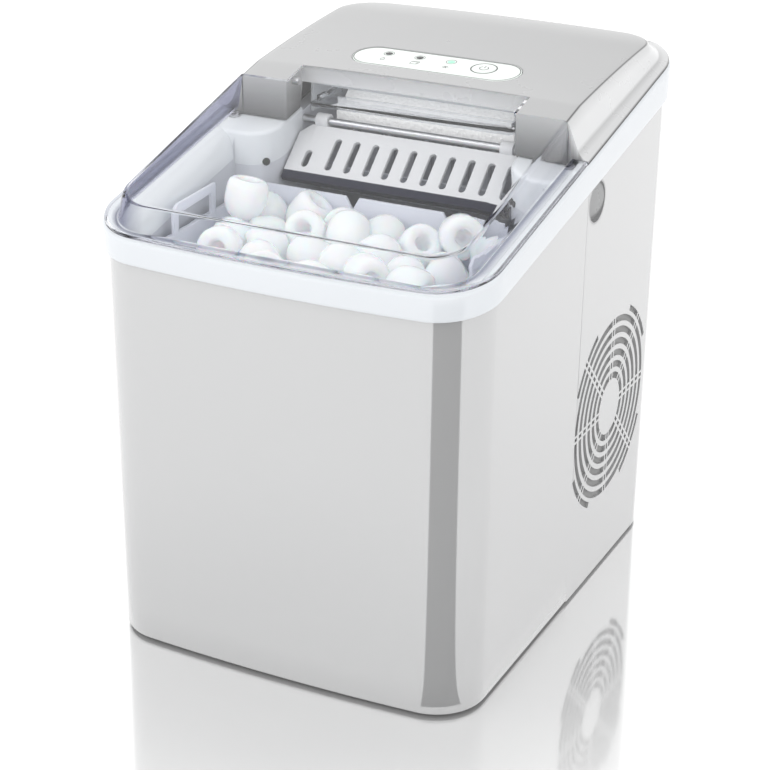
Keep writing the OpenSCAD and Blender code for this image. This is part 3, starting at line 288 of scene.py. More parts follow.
def plan_loop(inset):
    """The body's outline in plan, inset by a distance: two straight sides, four round corners and a front that is
    one wide arc. It returns points and outward directions, anticlockwise from the left end of the seam."""
    bow, radius = sizes().front_bow, sizes().rim_radius
    centre_x = HALF_W - radius
    arc = (centre_x ** 2 + bow ** 2) / (2 * bow)
    arc_y = FRONT_Y + arc
    corner_y = arc_y - math.sqrt((arc - radius) ** 2 - centre_x ** 2)
    turn = math.asin(centre_x / (arc - radius))
    back_y = REAR_Y - radius
    quarter = math.pi / 2

    def side(sign, y0, y1, count):
        y = np.linspace(y0, y1, count, endpoint=False)
        normal = np.tile([sign, 0.0], (count, 1))
        return np.stack([np.full(count, sign * (HALF_W - inset)), y], 1), normal

    def round_part(x, y, r, a0, a1, count):
        a = np.linspace(a0, a1, count, endpoint=False)
        normal = np.stack([np.cos(a), np.sin(a)], 1)
        return np.array([x, y]) + normal * r, normal

    def rear(count):
        x = np.linspace(centre_x, -centre_x, count, endpoint=False)
        return np.stack([x, np.full(count, REAR_Y - inset)], 1), np.tile([0.0, 1.0], (count, 1))

    parts = [
        side(-1, SEAM_Y, corner_y, 26),
        round_part(-centre_x, corner_y, radius - inset, 2 * quarter, 3 * quarter - turn, 16),
        round_part(0, arc_y, arc - inset, 3 * quarter - turn, 3 * quarter + turn, 36),
        round_part(centre_x, corner_y, radius - inset, 3 * quarter + turn, 4 * quarter, 16),
        side(1, corner_y, SEAM_Y, 26),
        side(1, SEAM_Y, back_y, 24),
        round_part(centre_x, back_y, radius - inset, 0, quarter, 16),
        rear(30),
        round_part(-centre_x, back_y, radius - inset, quarter, 2 * quarter, 16),
        side(-1, back_y, SEAM_Y, 24),
    ]
    return np.vstack([p[0] for p in parts]), np.vstack([p[1] for p in parts])


FRONT_COUNT = 26 + 16 + 36 + 16 + 26 + 1


# ---- finishes ----

def new_group(name, inputs, outputs):
    """An empty shader node group with named sockets: inputs are (name, kind, default), outputs (name, kind)."""
    group = bpy.data.node_groups.new(name, "ShaderNodeTree")
    for label, kind, value in inputs:
        socket = group.interface.new_socket(label, in_out="INPUT", socket_type="NodeSocket" + kind)
        socket.default_value = value
    for label, kind in outputs:
        group.interface.new_socket(label, in_out="OUTPUT", socket_type="NodeSocket" + kind)
    return group, group.nodes.new("NodeGroupInput"), group.nodes.new("NodeGroupOutput")


def noise(tree, scale, detail=3.0, roughness=0.5):
    """Noise on Object coordinates; scale is a number or a socket."""
    place = tree.nodes.new("ShaderNodeTexCoord")
    texture = tree.nodes.new("ShaderNodeTexNoise")
    texture.inputs["Detail"].default_value = detail
    texture.inputs["Roughness"].default_value = roughness
    tree.links.new(place.outputs["Object"], texture.inputs["Vector"])
    if isinstance(scale, (int, float)):
        texture.inputs["Scale"].default_value = scale
    else:
        tree.links.new(scale, texture.inputs["Scale"])
    return texture


def math_node(tree, operation, first, second):
    """One Math node; each input is a number or a socket."""
    node = tree.nodes.new("ShaderNodeMath")
    node.operation = operation
    for socket, value in zip(node.inputs, (first, second)):
        if isinstance(value, (int, float)):
            socket.default_value = value
        else:
            tree.links.new(value, socket)
    return node.outputs[0]


def map_range(tree, value, source_range, target_range=(0.0, 1.0), interpolation="LINEAR"):
    """Carries a value from one range over to another and holds it at both ends."""
    node = tree.nodes.new("ShaderNodeMapRange")
    node.interpolation_type = interpolation
    for label, number in zip(("From Min", "From Max", "To Min", "To Max"), (*source_range, *target_range)):
        node.inputs[label].default_value = number
    tree.links.new(value, node.inputs["Value"])
    return node.outputs["Result"]


def tone_drift_group():
    """Slow change between two tones over the surface: a noise, pulled to the middle by Contrast, mixes them."""
    grey = (0.5, 0.5, 0.5, 1)
    group, start, end = new_group("tone_drift", [("Light", "Color", grey), ("Dark", "Color", grey),
                                                 ("Scale", "Float", 20.0), ("Contrast", "Float", 1.0)],
                                  [("Color", "Color")])
    cloud = noise(group, start.outputs["Scale"], 4.0)
    spread = math_node(group, "MULTIPLY", math_node(group, "SUBTRACT", cloud.outputs["Fac"], 0.5),
                       start.outputs["Contrast"])
    mix = group.nodes.new("ShaderNodeMix")
    mix.data_type = "RGBA"
    group.links.new(math_node(group, "ADD", spread, 0.5), mix.inputs["Factor"])
    group.links.new(start.outputs["Dark"], mix.inputs["A"])
    group.links.new(start.outputs["Light"], mix.inputs["B"])
    group.links.new(mix.outputs["Result"], end.inputs["Color"])
    return group


def worn_gloss_group():
    """Roughness that wanders about its middle value, as wiped plastic and handled metal do."""
    group, start, end = new_group("worn_gloss", [("Middle", "Float", 0.3), ("Spread", "Float", 0.1),
                                                 ("Scale", "Float", 14.0)], [("Roughness", "Float")])
    smear = noise(group, start.outputs["Scale"], 5.0, 0.6)
    wander = math_node(group, "MULTIPLY", math_node(group, "SUBTRACT", smear.outputs["Fac"], 0.5),
                       start.outputs["Spread"])
    group.links.new(math_node(group, "ADD", wander, start.outputs["Middle"]), end.inputs["Roughness"])
    return group


def moulded_grain_group():
    """Height of a fine surface: small grain plus a long, low swell that bends reflections a little."""
    group, start, end = new_group("moulded_grain", [("Scale", "Float", 900.0), ("Swell", "Float", 0.4)],
                                  [("Height", "Float")])
    grain = noise(group, start.outputs["Scale"], 2.0)
    swell = noise(group, 26.0, 1.0)
    low = math_node(group, "MULTIPLY", swell.outputs["Fac"], start.outputs["Swell"])
    group.links.new(math_node(group, "ADD", grain.outputs["Fac"], low), end.inputs["Height"])
    return group


def drawn_lines_group():
    """Height of drawn or brushed metal: noise stretched a hundredfold along one direction."""
    group, start, end = new_group("drawn_lines", [("Stretch", "Vector", (1.0, 60.0, 60.0)), ("Scale", "Float", 60.0)],
                                  [("Height", "Float")])
    place = group.nodes.new("ShaderNodeTexCoord")
    turn = group.nodes.new("ShaderNodeMapping")
    lines = group.nodes.new("ShaderNodeTexNoise")
    lines.inputs["Detail"].default_value = 3.0
    group.links.new(place.outputs["Object"], turn.inputs["Vector"])
    group.links.new(start.outputs["Stretch"], turn.inputs["Scale"])
    group.links.new(turn.outputs["Vector"], lines.inputs["Vector"])
    group.links.new(start.outputs["Scale"], lines.inputs["Scale"])
    group.links.new(lines.outputs["Fac"], end.inputs["Height"])
    return group


def rime_group():
    """Frost: a Voronoi crust broken up by noise, as a height and as a mask of bright crystals."""
    group, start, end = new_group("rime", [("Scale", "Float", 300.0)], [("Height", "Float"), ("Crystals", "Float")])
    place = group.nodes.new("ShaderNodeTexCoord")
    cells = group.nodes.new("ShaderNodeTexVoronoi")
    group.links.new(place.outputs["Object"], cells.inputs["Vector"])
    group.links.new(start.outputs["Scale"], cells.inputs["Scale"])
    dust = noise(group, start.outputs["Scale"], 4.0, 0.7)
    height = math_node(group, "ADD", cells.outputs["Distance"], dust.outputs["Fac"])
    group.links.new(height, end.inputs["Height"])
    bright = math_node(group, "POWER", math_node(group, "MULTIPLY", height, 0.85), 3.0)
    group.links.new(bright, end.inputs["Crystals"])
    return group


GROUPS = {}


def group_node(tree, name):
    """Places one of the shared groups, which are built once."""
    makers = {"tone_drift": tone_drift_group, "worn_gloss": worn_gloss_group, "moulded_grain": moulded_grain_group,
              "drawn_lines": drawn_lines_group, "rime": rime_group}
    if name not in GROUPS:
        GROUPS[name] = makers[name]()
    node = tree.nodes.new("ShaderNodeGroup")
    node.node_tree = GROUPS[name]
    return node


def finish(name, base, drift=0.06, drift_scale=18.0, roughness=0.3, spread=0.08, smear_scale=14.0,
           grain=900.0, swell=0.3, depth=0.02, drawn=None, **shader):
    """A Principled material: base colour that drifts by a share, roughness that wanders, and a fine height.
    drawn gives the stretch of brushed lines in place of moulded grain. The rest are the shader's own sockets."""
    if name in bpy.data.materials:
        return bpy.data.materials[name]
    material = bpy.data.materials.new(name)
    material.use_nodes = True
    tree = material.node_tree
    out = tree.nodes["Principled BSDF"]
    base = np.array(base, float)
    tone = group_node(tree, "tone_drift")
    tone.inputs["Light"].default_value = (*np.clip(base * (1 + drift), 0, 1), 1)
    tone.inputs["Dark"].default_value = (*np.clip(base * (1 - drift), 0, 1), 1)
    tone.inputs["Scale"].default_value = drift_scale
    tone.inputs["Contrast"].default_value = 1.6
    tree.links.new(tone.outputs["Color"], out.inputs["Base Color"])
    gloss = group_node(tree, "worn_gloss")
    gloss.inputs["Middle"].default_value = roughness
    gloss.inputs["Spread"].default_value = spread
    gloss.inputs["Scale"].default_value = smear_scale
    tree.links.new(gloss.outputs["Roughness"], out.inputs["Roughness"])
    if drawn:
        height = group_node(tree, "drawn_lines")
        height.inputs["Stretch"].default_value = drawn
    else:
        height = group_node(tree, "moulded_grain")
        height.inputs["Scale"].default_value = grain
        height.inputs["Swell"].default_value = swell
    bump = tree.nodes.new("ShaderNodeBump")
    bump.inputs["Strength"].default_value = depth
    bump.inputs["Distance"].default_value = 0.001
    tree.links.new(height.outputs["Height"], bump.inputs["Height"])
    tree.links.new(bump.outputs["Normal"], out.inputs["Normal"])
    for socket, value in shader.items():
        out.inputs[socket.replace("_", " ")].default_value = value
    return material


def base_colour(material):
    """The socket that now feeds the material's base colour, and its tree and shader."""
    tree = material.node_tree
    shader = tree.nodes["Principled BSDF"]
    return tree, shader, shader.inputs["Base Color"].links[0].from_socket


def painted_light_toned(material):
    """Multiplies the base colour by the mesh's own tone value, which is stored point by point and carries painted
    light and shade.
    """
    name = material.name + "_toned"
    if name in bpy.data.materials:
        return bpy.data.materials[name]
    material = material.copy()
    material.name = name
    tree, shader, source = base_colour(material)
    tone = tree.nodes.new("ShaderNodeAttribute")
    tone.attribute_name = "tone"
    scale = tree.nodes.new("ShaderNodeVectorMath")
    scale.operation = "SCALE"
    tree.links.new(source, scale.inputs[0])
    tree.links.new(tone.outputs["Fac"], scale.inputs["Scale"])
    tree.links.new(scale.outputs["Vector"], shader.inputs["Base Color"])
    return material


def axis_mask(tree, axis, start, end):
    """Share from 0 to 1 as the piece's own coordinate along an axis runs from start to end."""
    place = tree.nodes.new("ShaderNodeTexCoord")
    split = tree.nodes.new("ShaderNodeSeparateXYZ")
    tree.links.new(place.outputs["Object"], split.inputs[0])
    return map_range(tree, split.outputs[axis], (start, end))


def mixed(tree, factor, first, colour_b):
    """A colour mix whose second colour is a constant."""
    mix = tree.nodes.new("ShaderNodeMix")
    mix.data_type = "RGBA"
    mix.inputs["B"].default_value = (*colour_b, 1)
    tree.links.new(factor, mix.inputs["Factor"])
    tree.links.new(first, mix.inputs["A"])
    return mix.outputs["Result"]


def shovel_finish():
    """White shovel whose lowest 7 mm are painted near-black: a painted shadow of the dark gap beneath it."""
    if "shovel_white_painted_shadow" in bpy.data.materials:
        return bpy.data.materials["shovel_white_painted_shadow"]
    material = finish("shovel_white_painted_shadow", colours().shovel, drift=0.012, roughness=0.5, depth=0.008,
                      Specular_IOR_Level=0.05)
    tree, shader, source = base_colour(material)
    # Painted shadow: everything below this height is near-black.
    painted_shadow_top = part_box("ice_shovel")[0].z + 7.2 * MM
    mask = axis_mask(tree, "Z", painted_shadow_top, painted_shadow_top - 0.3 * MM)
    tree.links.new(mixed(tree, mask, source, (0.012, 0.013, 0.03)), shader.inputs["Base Color"])
    return material


def clear_lid():
    """Clear plastic: colourless where it is seen square on, and navy where it is seen edge-on or where the mesh's
    own stored value says so: the plastic's deep colour at its edges, and painted shade on its left side wall."""
    if "clear_lid" in bpy.data.materials:
        return bpy.data.materials["clear_lid"]
    material = finish("clear_lid", (0.985, 0.99, 1.0), drift=0.004, roughness=0.015, spread=0.02, depth=0.003,
                      Transmission_Weight=1.0, IOR=1.24)
    tree, shader, source = base_colour(material)
    edge = tree.nodes.new("ShaderNodeAttribute")
    edge.attribute_name = "tint_and_painted_shade"
    facing = tree.nodes.new("ShaderNodeLayerWeight")
    facing.inputs["Blend"].default_value = 0.5
    grazing = math_node(tree, "MULTIPLY", math_node(tree, "POWER", facing.outputs["Facing"], 5.0), 0.7)
    amount = math_node(tree, "MAXIMUM", edge.outputs["Fac"], grazing)
    tree.links.new(mixed(tree, amount, source, colours().navy), shader.inputs["Base Color"])
    return material


def frosted_metal_painted_glow():
    """Cold aluminium under a crust of rime: bright crystals over grey metal, and a painted white glow though it is no
    lamp.
    """
    material = finish("frosted_metal_painted_glow", (0.93, 0.93, 0.92), drift=0.08, drift_scale=60, roughness=0.38, depth=0.2)
    tree, shader, source = base_colour(material)
    rime = group_node(tree, "rime")
    rime.inputs["Scale"].default_value = 420.0
    tree.links.new(mixed(tree, rime.outputs["Crystals"], source, (0.93, 0.93, 0.93)), shader.inputs["Base Color"])
    bump = next(n for n in tree.nodes if n.type == "BUMP")
    tree.links.new(rime.outputs["Height"], bump.inputs["Height"])
    bump.inputs["Strength"].default_value = 0.55
    # Painted glow: white emission that stands in for light reaching the metal under the lid.
    shader.inputs["Emission Color"].default_value = (1, 1, 1, 1)
    shader.inputs["Emission Strength"].default_value = 0.2
    return material


def lamp_lens():
    """Lamp lenses: dark ones, and past the panel's middle the one that is lit."""
    material = finish("lamp_lens", (0.012, 0.012, 0.013), roughness=0.2, depth=0.01)
    tree, shader, source = base_colour(material)
    place = tree.nodes.new("ShaderNodeTexCoord")
    split = tree.nodes.new("ShaderNodeSeparateXYZ")
    tree.links.new(place.outputs["Object"], split.inputs[0])
    on = math_node(tree, "GREATER_THAN", split.outputs["X"], 0.0)
    tree.links.new(mixed(tree, on, source, colours().lit), shader.inputs["Base Color"])
    glow = tree.nodes.new("ShaderNodeMix")
    glow.data_type = "RGBA"
    glow.inputs["A"].default_value = (0, 0, 0, 1)
    glow.inputs["B"].default_value = (*colours().lit, 1)
    tree.links.new(on, glow.inputs["Factor"])
    tree.links.new(glow.outputs["Result"], shader.inputs["Emission Color"])
    shader.inputs["Emission Strength"].default_value = 0.25
    return material


def slot_finish(slot):
    """The finish of each material slot in the record."""
    c = colours()
    table = {
        "silver_panel": dict(base=c.silver, drift=0.012, drift_scale=5, roughness=0.09, spread=0.03, grain=1500,
                             swell=0.25, depth=0.002, Metallic=0.42, Coat_Weight=0.5, Coat_Roughness=0.04),
        "silver_plastic": dict(base=c.cover, drift=0.015, roughness=0.28, depth=0.004, Metallic=0.12,
                               Coat_Weight=0.5, Coat_Roughness=0.1),
        "white_plastic": dict(base=c.white, drift=0.015, roughness=0.16, spread=0.05, depth=0.005, Coat_Weight=0.4),
        "liner_plastic": dict(base=c.liner, drift=0.03, roughness=0.22, depth=0.01),
        "basket_plastic": dict(base=c.basket, drift=0.03, roughness=0.3, depth=0.012, Transmission_Weight=0.25,
                               IOR=1.3),
        "clear_plastic": dict(base=(0.93, 0.945, 0.97), drift=0.01, roughness=0.05, depth=0.004,
                              Transmission_Weight=1.0, IOR=1.35),
        "mint_plastic": dict(base=c.mint, drift=0.01, roughness=0.24, depth=0.006, Coat_Weight=0.3),
        "black_plastic": dict(base=(0.022, 0.022, 0.024), drift=0.15, roughness=0.42, grain=700, depth=0.05),
        "grey_plastic": dict(base=(0.13, 0.13, 0.135), drift=0.08, roughness=0.45, grain=700, depth=0.05),
        "black_paint": dict(base=(0.018, 0.018, 0.019), drift=0.2, roughness=0.25, swell=2.5, depth=0.08,
                            Coat_Weight=0.4),
        "rubber": dict(base=(0.02, 0.02, 0.02), drift=0.2, roughness=0.75, grain=500, depth=0.12),
        "steel": dict(base=(0.56, 0.56, 0.57), roughness=0.3, drawn=(4.0, 60.0, 60.0), depth=0.05, Metallic=1.0),
        "chrome": dict(base=(0.70, 0.70, 0.71), drift=0.03, roughness=0.12, depth=0.01, Metallic=1.0),
        "aluminium": dict(base=(0.62, 0.63, 0.64), roughness=0.36, drawn=(60.0, 60.0, 2.0), depth=0.06, Metallic=1.0),
        "copper": dict(base=(0.66, 0.30, 0.17), drift=0.16, drift_scale=40, roughness=0.3, spread=0.2, depth=0.03,
                       Metallic=1.0),
        "brass": dict(base=(0.62, 0.44, 0.16), drift=0.1, roughness=0.28, depth=0.03, Metallic=1.0),
        "foam": dict(base=(0.78, 0.77, 0.70), drift=0.06, roughness=0.9, grain=260, depth=0.5),
        "circuit_board": dict(base=(0.02, 0.12, 0.05), drift=0.25, drift_scale=160, roughness=0.35, depth=0.05),
        "screen_mesh": dict(base=(0.33, 0.33, 0.33), drift=0.04, roughness=0.7, grain=900, depth=0.2),
        "hose": dict(base=(0.62, 0.62, 0.58), drift=0.05, roughness=0.4, depth=0.03, Subsurface_Weight=0.2,
                     Subsurface_Scale=0.002),
    }
    return finish("finish_" + slot, **table[slot])


# ---- body ----

def build_panels():
    """Front panel: the plan outline from seam to seam, carried upright from foot to band, tapered and given a wall.
    Its lower edge curls in over 1.2 mm. The rear panel, scoops and rear fittings are welded copies of
    their frame nodes, tapered the same way."""
    s = sizes()
    inset, normal = plan_loop(s.panel_step)
    inset, normal = inset[:FRONT_COUNT], normal[:FRONT_COUNT]
    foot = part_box("front_shell")[0].z
    curl = np.array([(1.3, 0.0), (0.45, 0.25), (0.0, 1.2)]) * MM
    levels = np.linspace(0, 1, 14)[1:]
    rows = [np.column_stack([inset - normal * d, np.full(len(inset), foot + h)]) for d, h in curl]
    top = band_z(inset[:, 1]) - 0.3 * MM
    low = foot + curl[-1, 1]
    rows += [np.column_stack([inset, low + (top - low) * t]) for t in levels]
    points = taper(np.vstack(rows))
    add_piece("front_panel", points, grid_faces(len(rows), len(inset)), slot_finish("silver_panel"), "housing",
              ["front_shell"], thickness=s.panel_wall, up=(0, -1, 0), sharp=50)
    merged_copy("rear_shell", "rear_panel", slot_finish("silver_panel"), tapered=True)
    merged_copy("side_grips", "finger_scoops", slot_finish("silver_plastic"), tapered=True)
    merged_copy("dust_screen", "vent_screen", slot_finish("screen_mesh"), tapered=True)
    for node in ("drain_spout", "drain_plug", "power_inlet", "shell_screws"):
        merged_copy(node, node + "_seated", slot_finish(SLOTS[node]), bevel=0.25 * MM, tapered=True)
    merged_copy("base_pan", "tray_pan", slot_finish("grey_plastic"), tapered=True)


def mouth_loop(points, normal):
    """For each point of the plan outline, the point beside it on the edge of the tub's mouth: a rectangle with
    round front corners, reached by the same direction on corners and the same depth position on the sides."""
    half, front, radius = HALF_W - 22 * MM, FRONT_Y + 13.5 * MM, 20 * MM
    rear = 96 * MM
    x_scale = (half - radius) / (HALF_W - sizes().rim_radius)
    x, y = points[:, 0], points[:, 1]
    straight = np.abs(normal[:, 0]) > 0.9999
    corner_x = np.clip(x * x_scale, radius - half, half - radius)
    corner_y = np.where(y < 0, front + radius, rear - radius)
    inner_x = np.where(straight, np.sign(x) * half, corner_x + normal[:, 0] * radius)
    inner_y = np.where(straight, np.clip(y, front + radius, rear - radius), corner_y + normal[:, 1] * radius)
    return np.column_stack([inner_x, inner_y])


def build_rim():
    """White rim: one closed cross-section carried round the plan outline. It climbs the outer band, rounds over onto
    the ledge that the lid rests on, drops to the deck, and curves down to the tub's wall as a quarter ellipse."""
    outline, normal = plan_loop(0)
    inner = mouth_loop(outline, normal)
    y = outline[:, 1]
    side = np.abs(normal[:, 0]) ** 2
    ring = 8.0

    def ring_row(inset, line, height):
        level = part_z(y) if line == "part" else band_z(y)
        return np.column_stack([outline - normal * inset * MM, level + height * MM])

    rows = [ring_row(*v) for v in [
        (7.8, "band", 0.0), (1.4, "band", 0.0), (0.45, "band", 0.25), (0.1, "band", 0.8), (0.0, "band", 1.6),
        (0.0, "part", -1.9), (0.12, "part", -1.0), (0.5, "part", -0.35), (1.3, "part", 0.0),
        (ring - 1.2, "part", 0.0), (ring - 0.5, "part", -0.2), (ring - 0.1, "part", -0.7), (ring, "part", -2.1),
        (ring + 0.3, "part", -2.45)]]
    start = outline - normal * ((ring + 0.4 + 2.6 * side) * MM)[:, None]
    for a in np.linspace(0, math.pi / 2, 11):
        flat = start + (inner - start) * math.sin(a)
        rows.append(np.column_stack([flat, part_z(y) - (2.5 + 17.5 * (1 - math.cos(a))) * MM]))
    away = (inner - start) / np.maximum(np.linalg.norm(inner - start, axis=1), 1e-6)[:, None]
    rows.append(np.column_stack([inner - away * 1.6 * MM, part_z(y) - 20 * MM]))
    rows.append(np.column_stack([start + (inner - start) * 0.55 - away * 1.2 * MM, part_z(y) - 10.5 * MM]))
    rows.append(np.column_stack([outline - normal * (ring - 0.3) * MM, part_z(y) - 5.5 * MM]))
    points = np.vstack(rows)
    add_piece("rim", points, grid_faces(len(rows), len(outline), True, True), slot_finish("white_plastic"),
              "housing", ["top_frame"], sharp=40)

    def lower_tub(p):
        """Lowers the tub wall's top ledge, ahead of the bosses, to where the rim's curve ends."""
        p = p.copy()
        ledge = part_z(p[:, 1]) - 8 * MM
        lowered = (p[:, 1] < -22.4 * MM) & (p[:, 2] > ledge)
        p[lowered, 2] -= 13.5 * MM
        return p

    merged_copy("tub_liner", "tub", slot_finish("liner_plastic"), shape=lower_tub, cut_y=-22.5 * MM)
    build_bosses()


def build_bosses():
    """Two deck plates over the tub's round bosses. The edge path runs across the boss's front, round its quarter
    column and back along the chamber; the surface is ruled from the side wall to that path, rolls over on a 2.5 mm
    arc and ends as a short skirt."""
    radius, front, column = 18 * MM, -3 * MM, 93 * MM
    inner = column - radius
    wall = 111.6 * MM
    back = 20 * MM
    straight = np.column_stack([np.linspace(wall, column, 6, endpoint=False), np.full(6, front - radius)])
    a = np.linspace(-math.pi / 2, -math.pi, 14)
    arc = np.array([column, front]) + radius * np.column_stack([np.cos(a), np.sin(a)])
    side = np.column_stack([np.full(5, inner), np.linspace(front, back, 6)[1:]])
    path = np.vstack([straight, arc, side])
    tangent = np.gradient(path, axis=0)
    tangent /= np.linalg.norm(tangent, axis=1)[:, None]
    outward = np.column_stack([tangent[:, 1], -tangent[:, 0]])
    if outward[0, 1] > 0:
        outward = -outward
    y_wall = np.linspace(front - radius, back, len(path))
    roll = np.linspace(0, math.pi / 2, 6)
    for sign, name in ((-1, "left_boss"), (1, "right_boss")):
        rows = [np.column_stack([np.full(len(path), wall), y_wall])]
        depth = [np.zeros(len(path))]
        for r in roll:
            rows.append(path - outward * (2.5 * MM * (1 - math.sin(r)) - 0.08 * MM))
            depth.append(np.full(len(path), 2.5 * MM * (1 - math.cos(r))))
        rows.append(path + outward * 0.08 * MM)
        depth.append(np.full(len(path), 20 * MM))
        flat, deep = np.vstack(rows), np.concatenate(depth)
        z = part_z(flat[:, 1]) - 2.45 * MM - deep
        points = np.column_stack([flat[:, 0] * sign, flat[:, 1], z])
        add_piece(name, points, grid_faces(len(rows), len(path)), slot_finish("white_plastic"), "housing",
                  thickness=1.2 * MM, up=(0, 0, 1), sharp=50)


def hood(rows_y, half_width, notch, open_rows, closed_rows, top, rings):
    """A hood: a sloping top that is a grid in width and depth, and walls that go round three of its sides.
    Columns inside the notch exist in closed_rows and columns outside it in open_rows, both true or false for each
    row. half_width(y) is the crease's half width, which shrinks round the closed end's corners, top(x, y) the
    height, and rings the wall's cross-section as (distance outward, height function) pairs.
    It returns points, faces and each point's ring number."""
    inner = notch["columns"]
    steps = np.linspace(0, 1, notch["outer"] + 1)[1:]
    y = rows_y[:, None]
    half = half_width(rows_y)[:, None]
    right = inner[-1] + (half - inner[-1]) * steps
    x = np.hstack([-right[:, ::-1], np.tile(inner, (len(rows_y), 1)), right])
    yy = np.tile(y, (1, x.shape[1]))
    points = [np.column_stack([x.ravel(), yy.ravel(), top(x, yy).ravel()])]
    rows, columns = x.shape
    faces = grid_faces(rows, columns)
    column = faces[:, 0] % columns
    row = faces[:, 0] // columns
    outside = (column < notch["outer"]) | (column >= columns - 1 - notch["outer"])
    keep = np.where(outside, open_rows[row] & open_rows[row + 1], closed_rows[row] & closed_rows[row + 1])
    faces = [faces[keep]]
    index = np.arange(rows * columns).reshape(rows, columns)
    sides = index[open_rows]
    path = np.concatenate([sides[:, 0], sides[-1, 1:-1], sides[::-1, -1]])
    edge = points[0][path]
    tangent = np.gradient(edge[:, :2], axis=0)
    tangent /= np.maximum(np.linalg.norm(tangent, axis=1), 1e-9)[:, None]
    outward = np.column_stack([-tangent[:, 1], tangent[:, 0]])
    outward[0] = outward[1] = np.array([-1.0, 0.0])
    outward[-1] = outward[-2] = np.array([1.0, 0.0])
    if (outward * edge[:, :2])[len(path) // 4].sum() < 0:
        outward[2:-2] *= -1
    number = [np.zeros(rows * columns)]
    count = rows * columns
    previous = path
    for k, (distance, height) in enumerate(rings):
        flat = edge[:, :2] + outward * distance
        points.append(np.column_stack([flat, height(edge, flat)]))
        number.append(np.full(len(path), k + 1.0))
        current = count + np.arange(len(path))
        faces.append(np.stack([previous[:-1], previous[1:], current[1:], current[:-1]], -1))
        previous = current
        count += len(path)
    return np.vstack(points), np.vstack(faces), np.concatenate(number), index, path


def corner_half(half, radius, end, toward):
    """Half width of a rounded rectangle at a depth position: full along the sides, a circle's chord in the corner."""
    def at(y):
        into = np.clip(radius - toward * (end - y), 0, radius)
        return half - radius + np.sqrt(np.maximum(radius ** 2 - into ** 2, 0))
    return at


def corner_rows(start, end, radius, straight, round_count):
    """Depth positions that are even along the sides and follow the arc's own steps in the corner."""
    sign = 1 if end > start else -1
    a = np.linspace(0, math.pi / 2, round_count)
    arc = end - sign * radius + sign * radius * np.sin(a)
    return np.concatenate([np.linspace(start, end - sign * radius, straight)[:-1], arc])


def arc_rings(radius, fall, count=4):
    """Rings of a rounded crease: outward by the sine and down by one less the cosine, until the wall's own slope."""
    a = np.linspace(0, 1, count + 1)[1:] * fall
    return [(radius * math.sin(t), radius * (1 - math.cos(t))) for t in a]


def flange_edge(edge, half, corner, inset):
    """The point of the flange's outer edge beside each point of the lid's crease: level with it along the sides,
    in proportion across the front, and by the same outward direction round the corners."""
    outline, normal = plan_loop(inset)
    right = slice(FRONT_COUNT // 2, FRONT_COUNT)
    loop, direction = outline[right], np.arctan2(normal[right, 1], normal[right, 0])
    order = np.argsort(loop[:, 0])
    tangent = np.gradient(edge[:, :2], axis=0)
    angle = np.arctan2(-np.abs(tangent[:, 0]), np.abs(tangent[:, 1]))
    across = np.abs(edge[:, 0]) * (HALF_W - sizes().rim_radius) / (half - corner)
    places = [np.abs(edge[:, 0]) < half - corner + 1e-6, angle > -1e-3]
    x = np.select(places, [across, np.full(len(edge), HALF_W - inset)], np.interp(angle, direction, loop[:, 0]))
    y = np.select(places, [np.interp(across, loop[order, 0], loop[order, 1]), edge[:, 1]],
                  np.interp(angle, direction, loop[:, 1]))
    return np.column_stack([x * np.sign(edge[:, 0] + 1e-12), y])


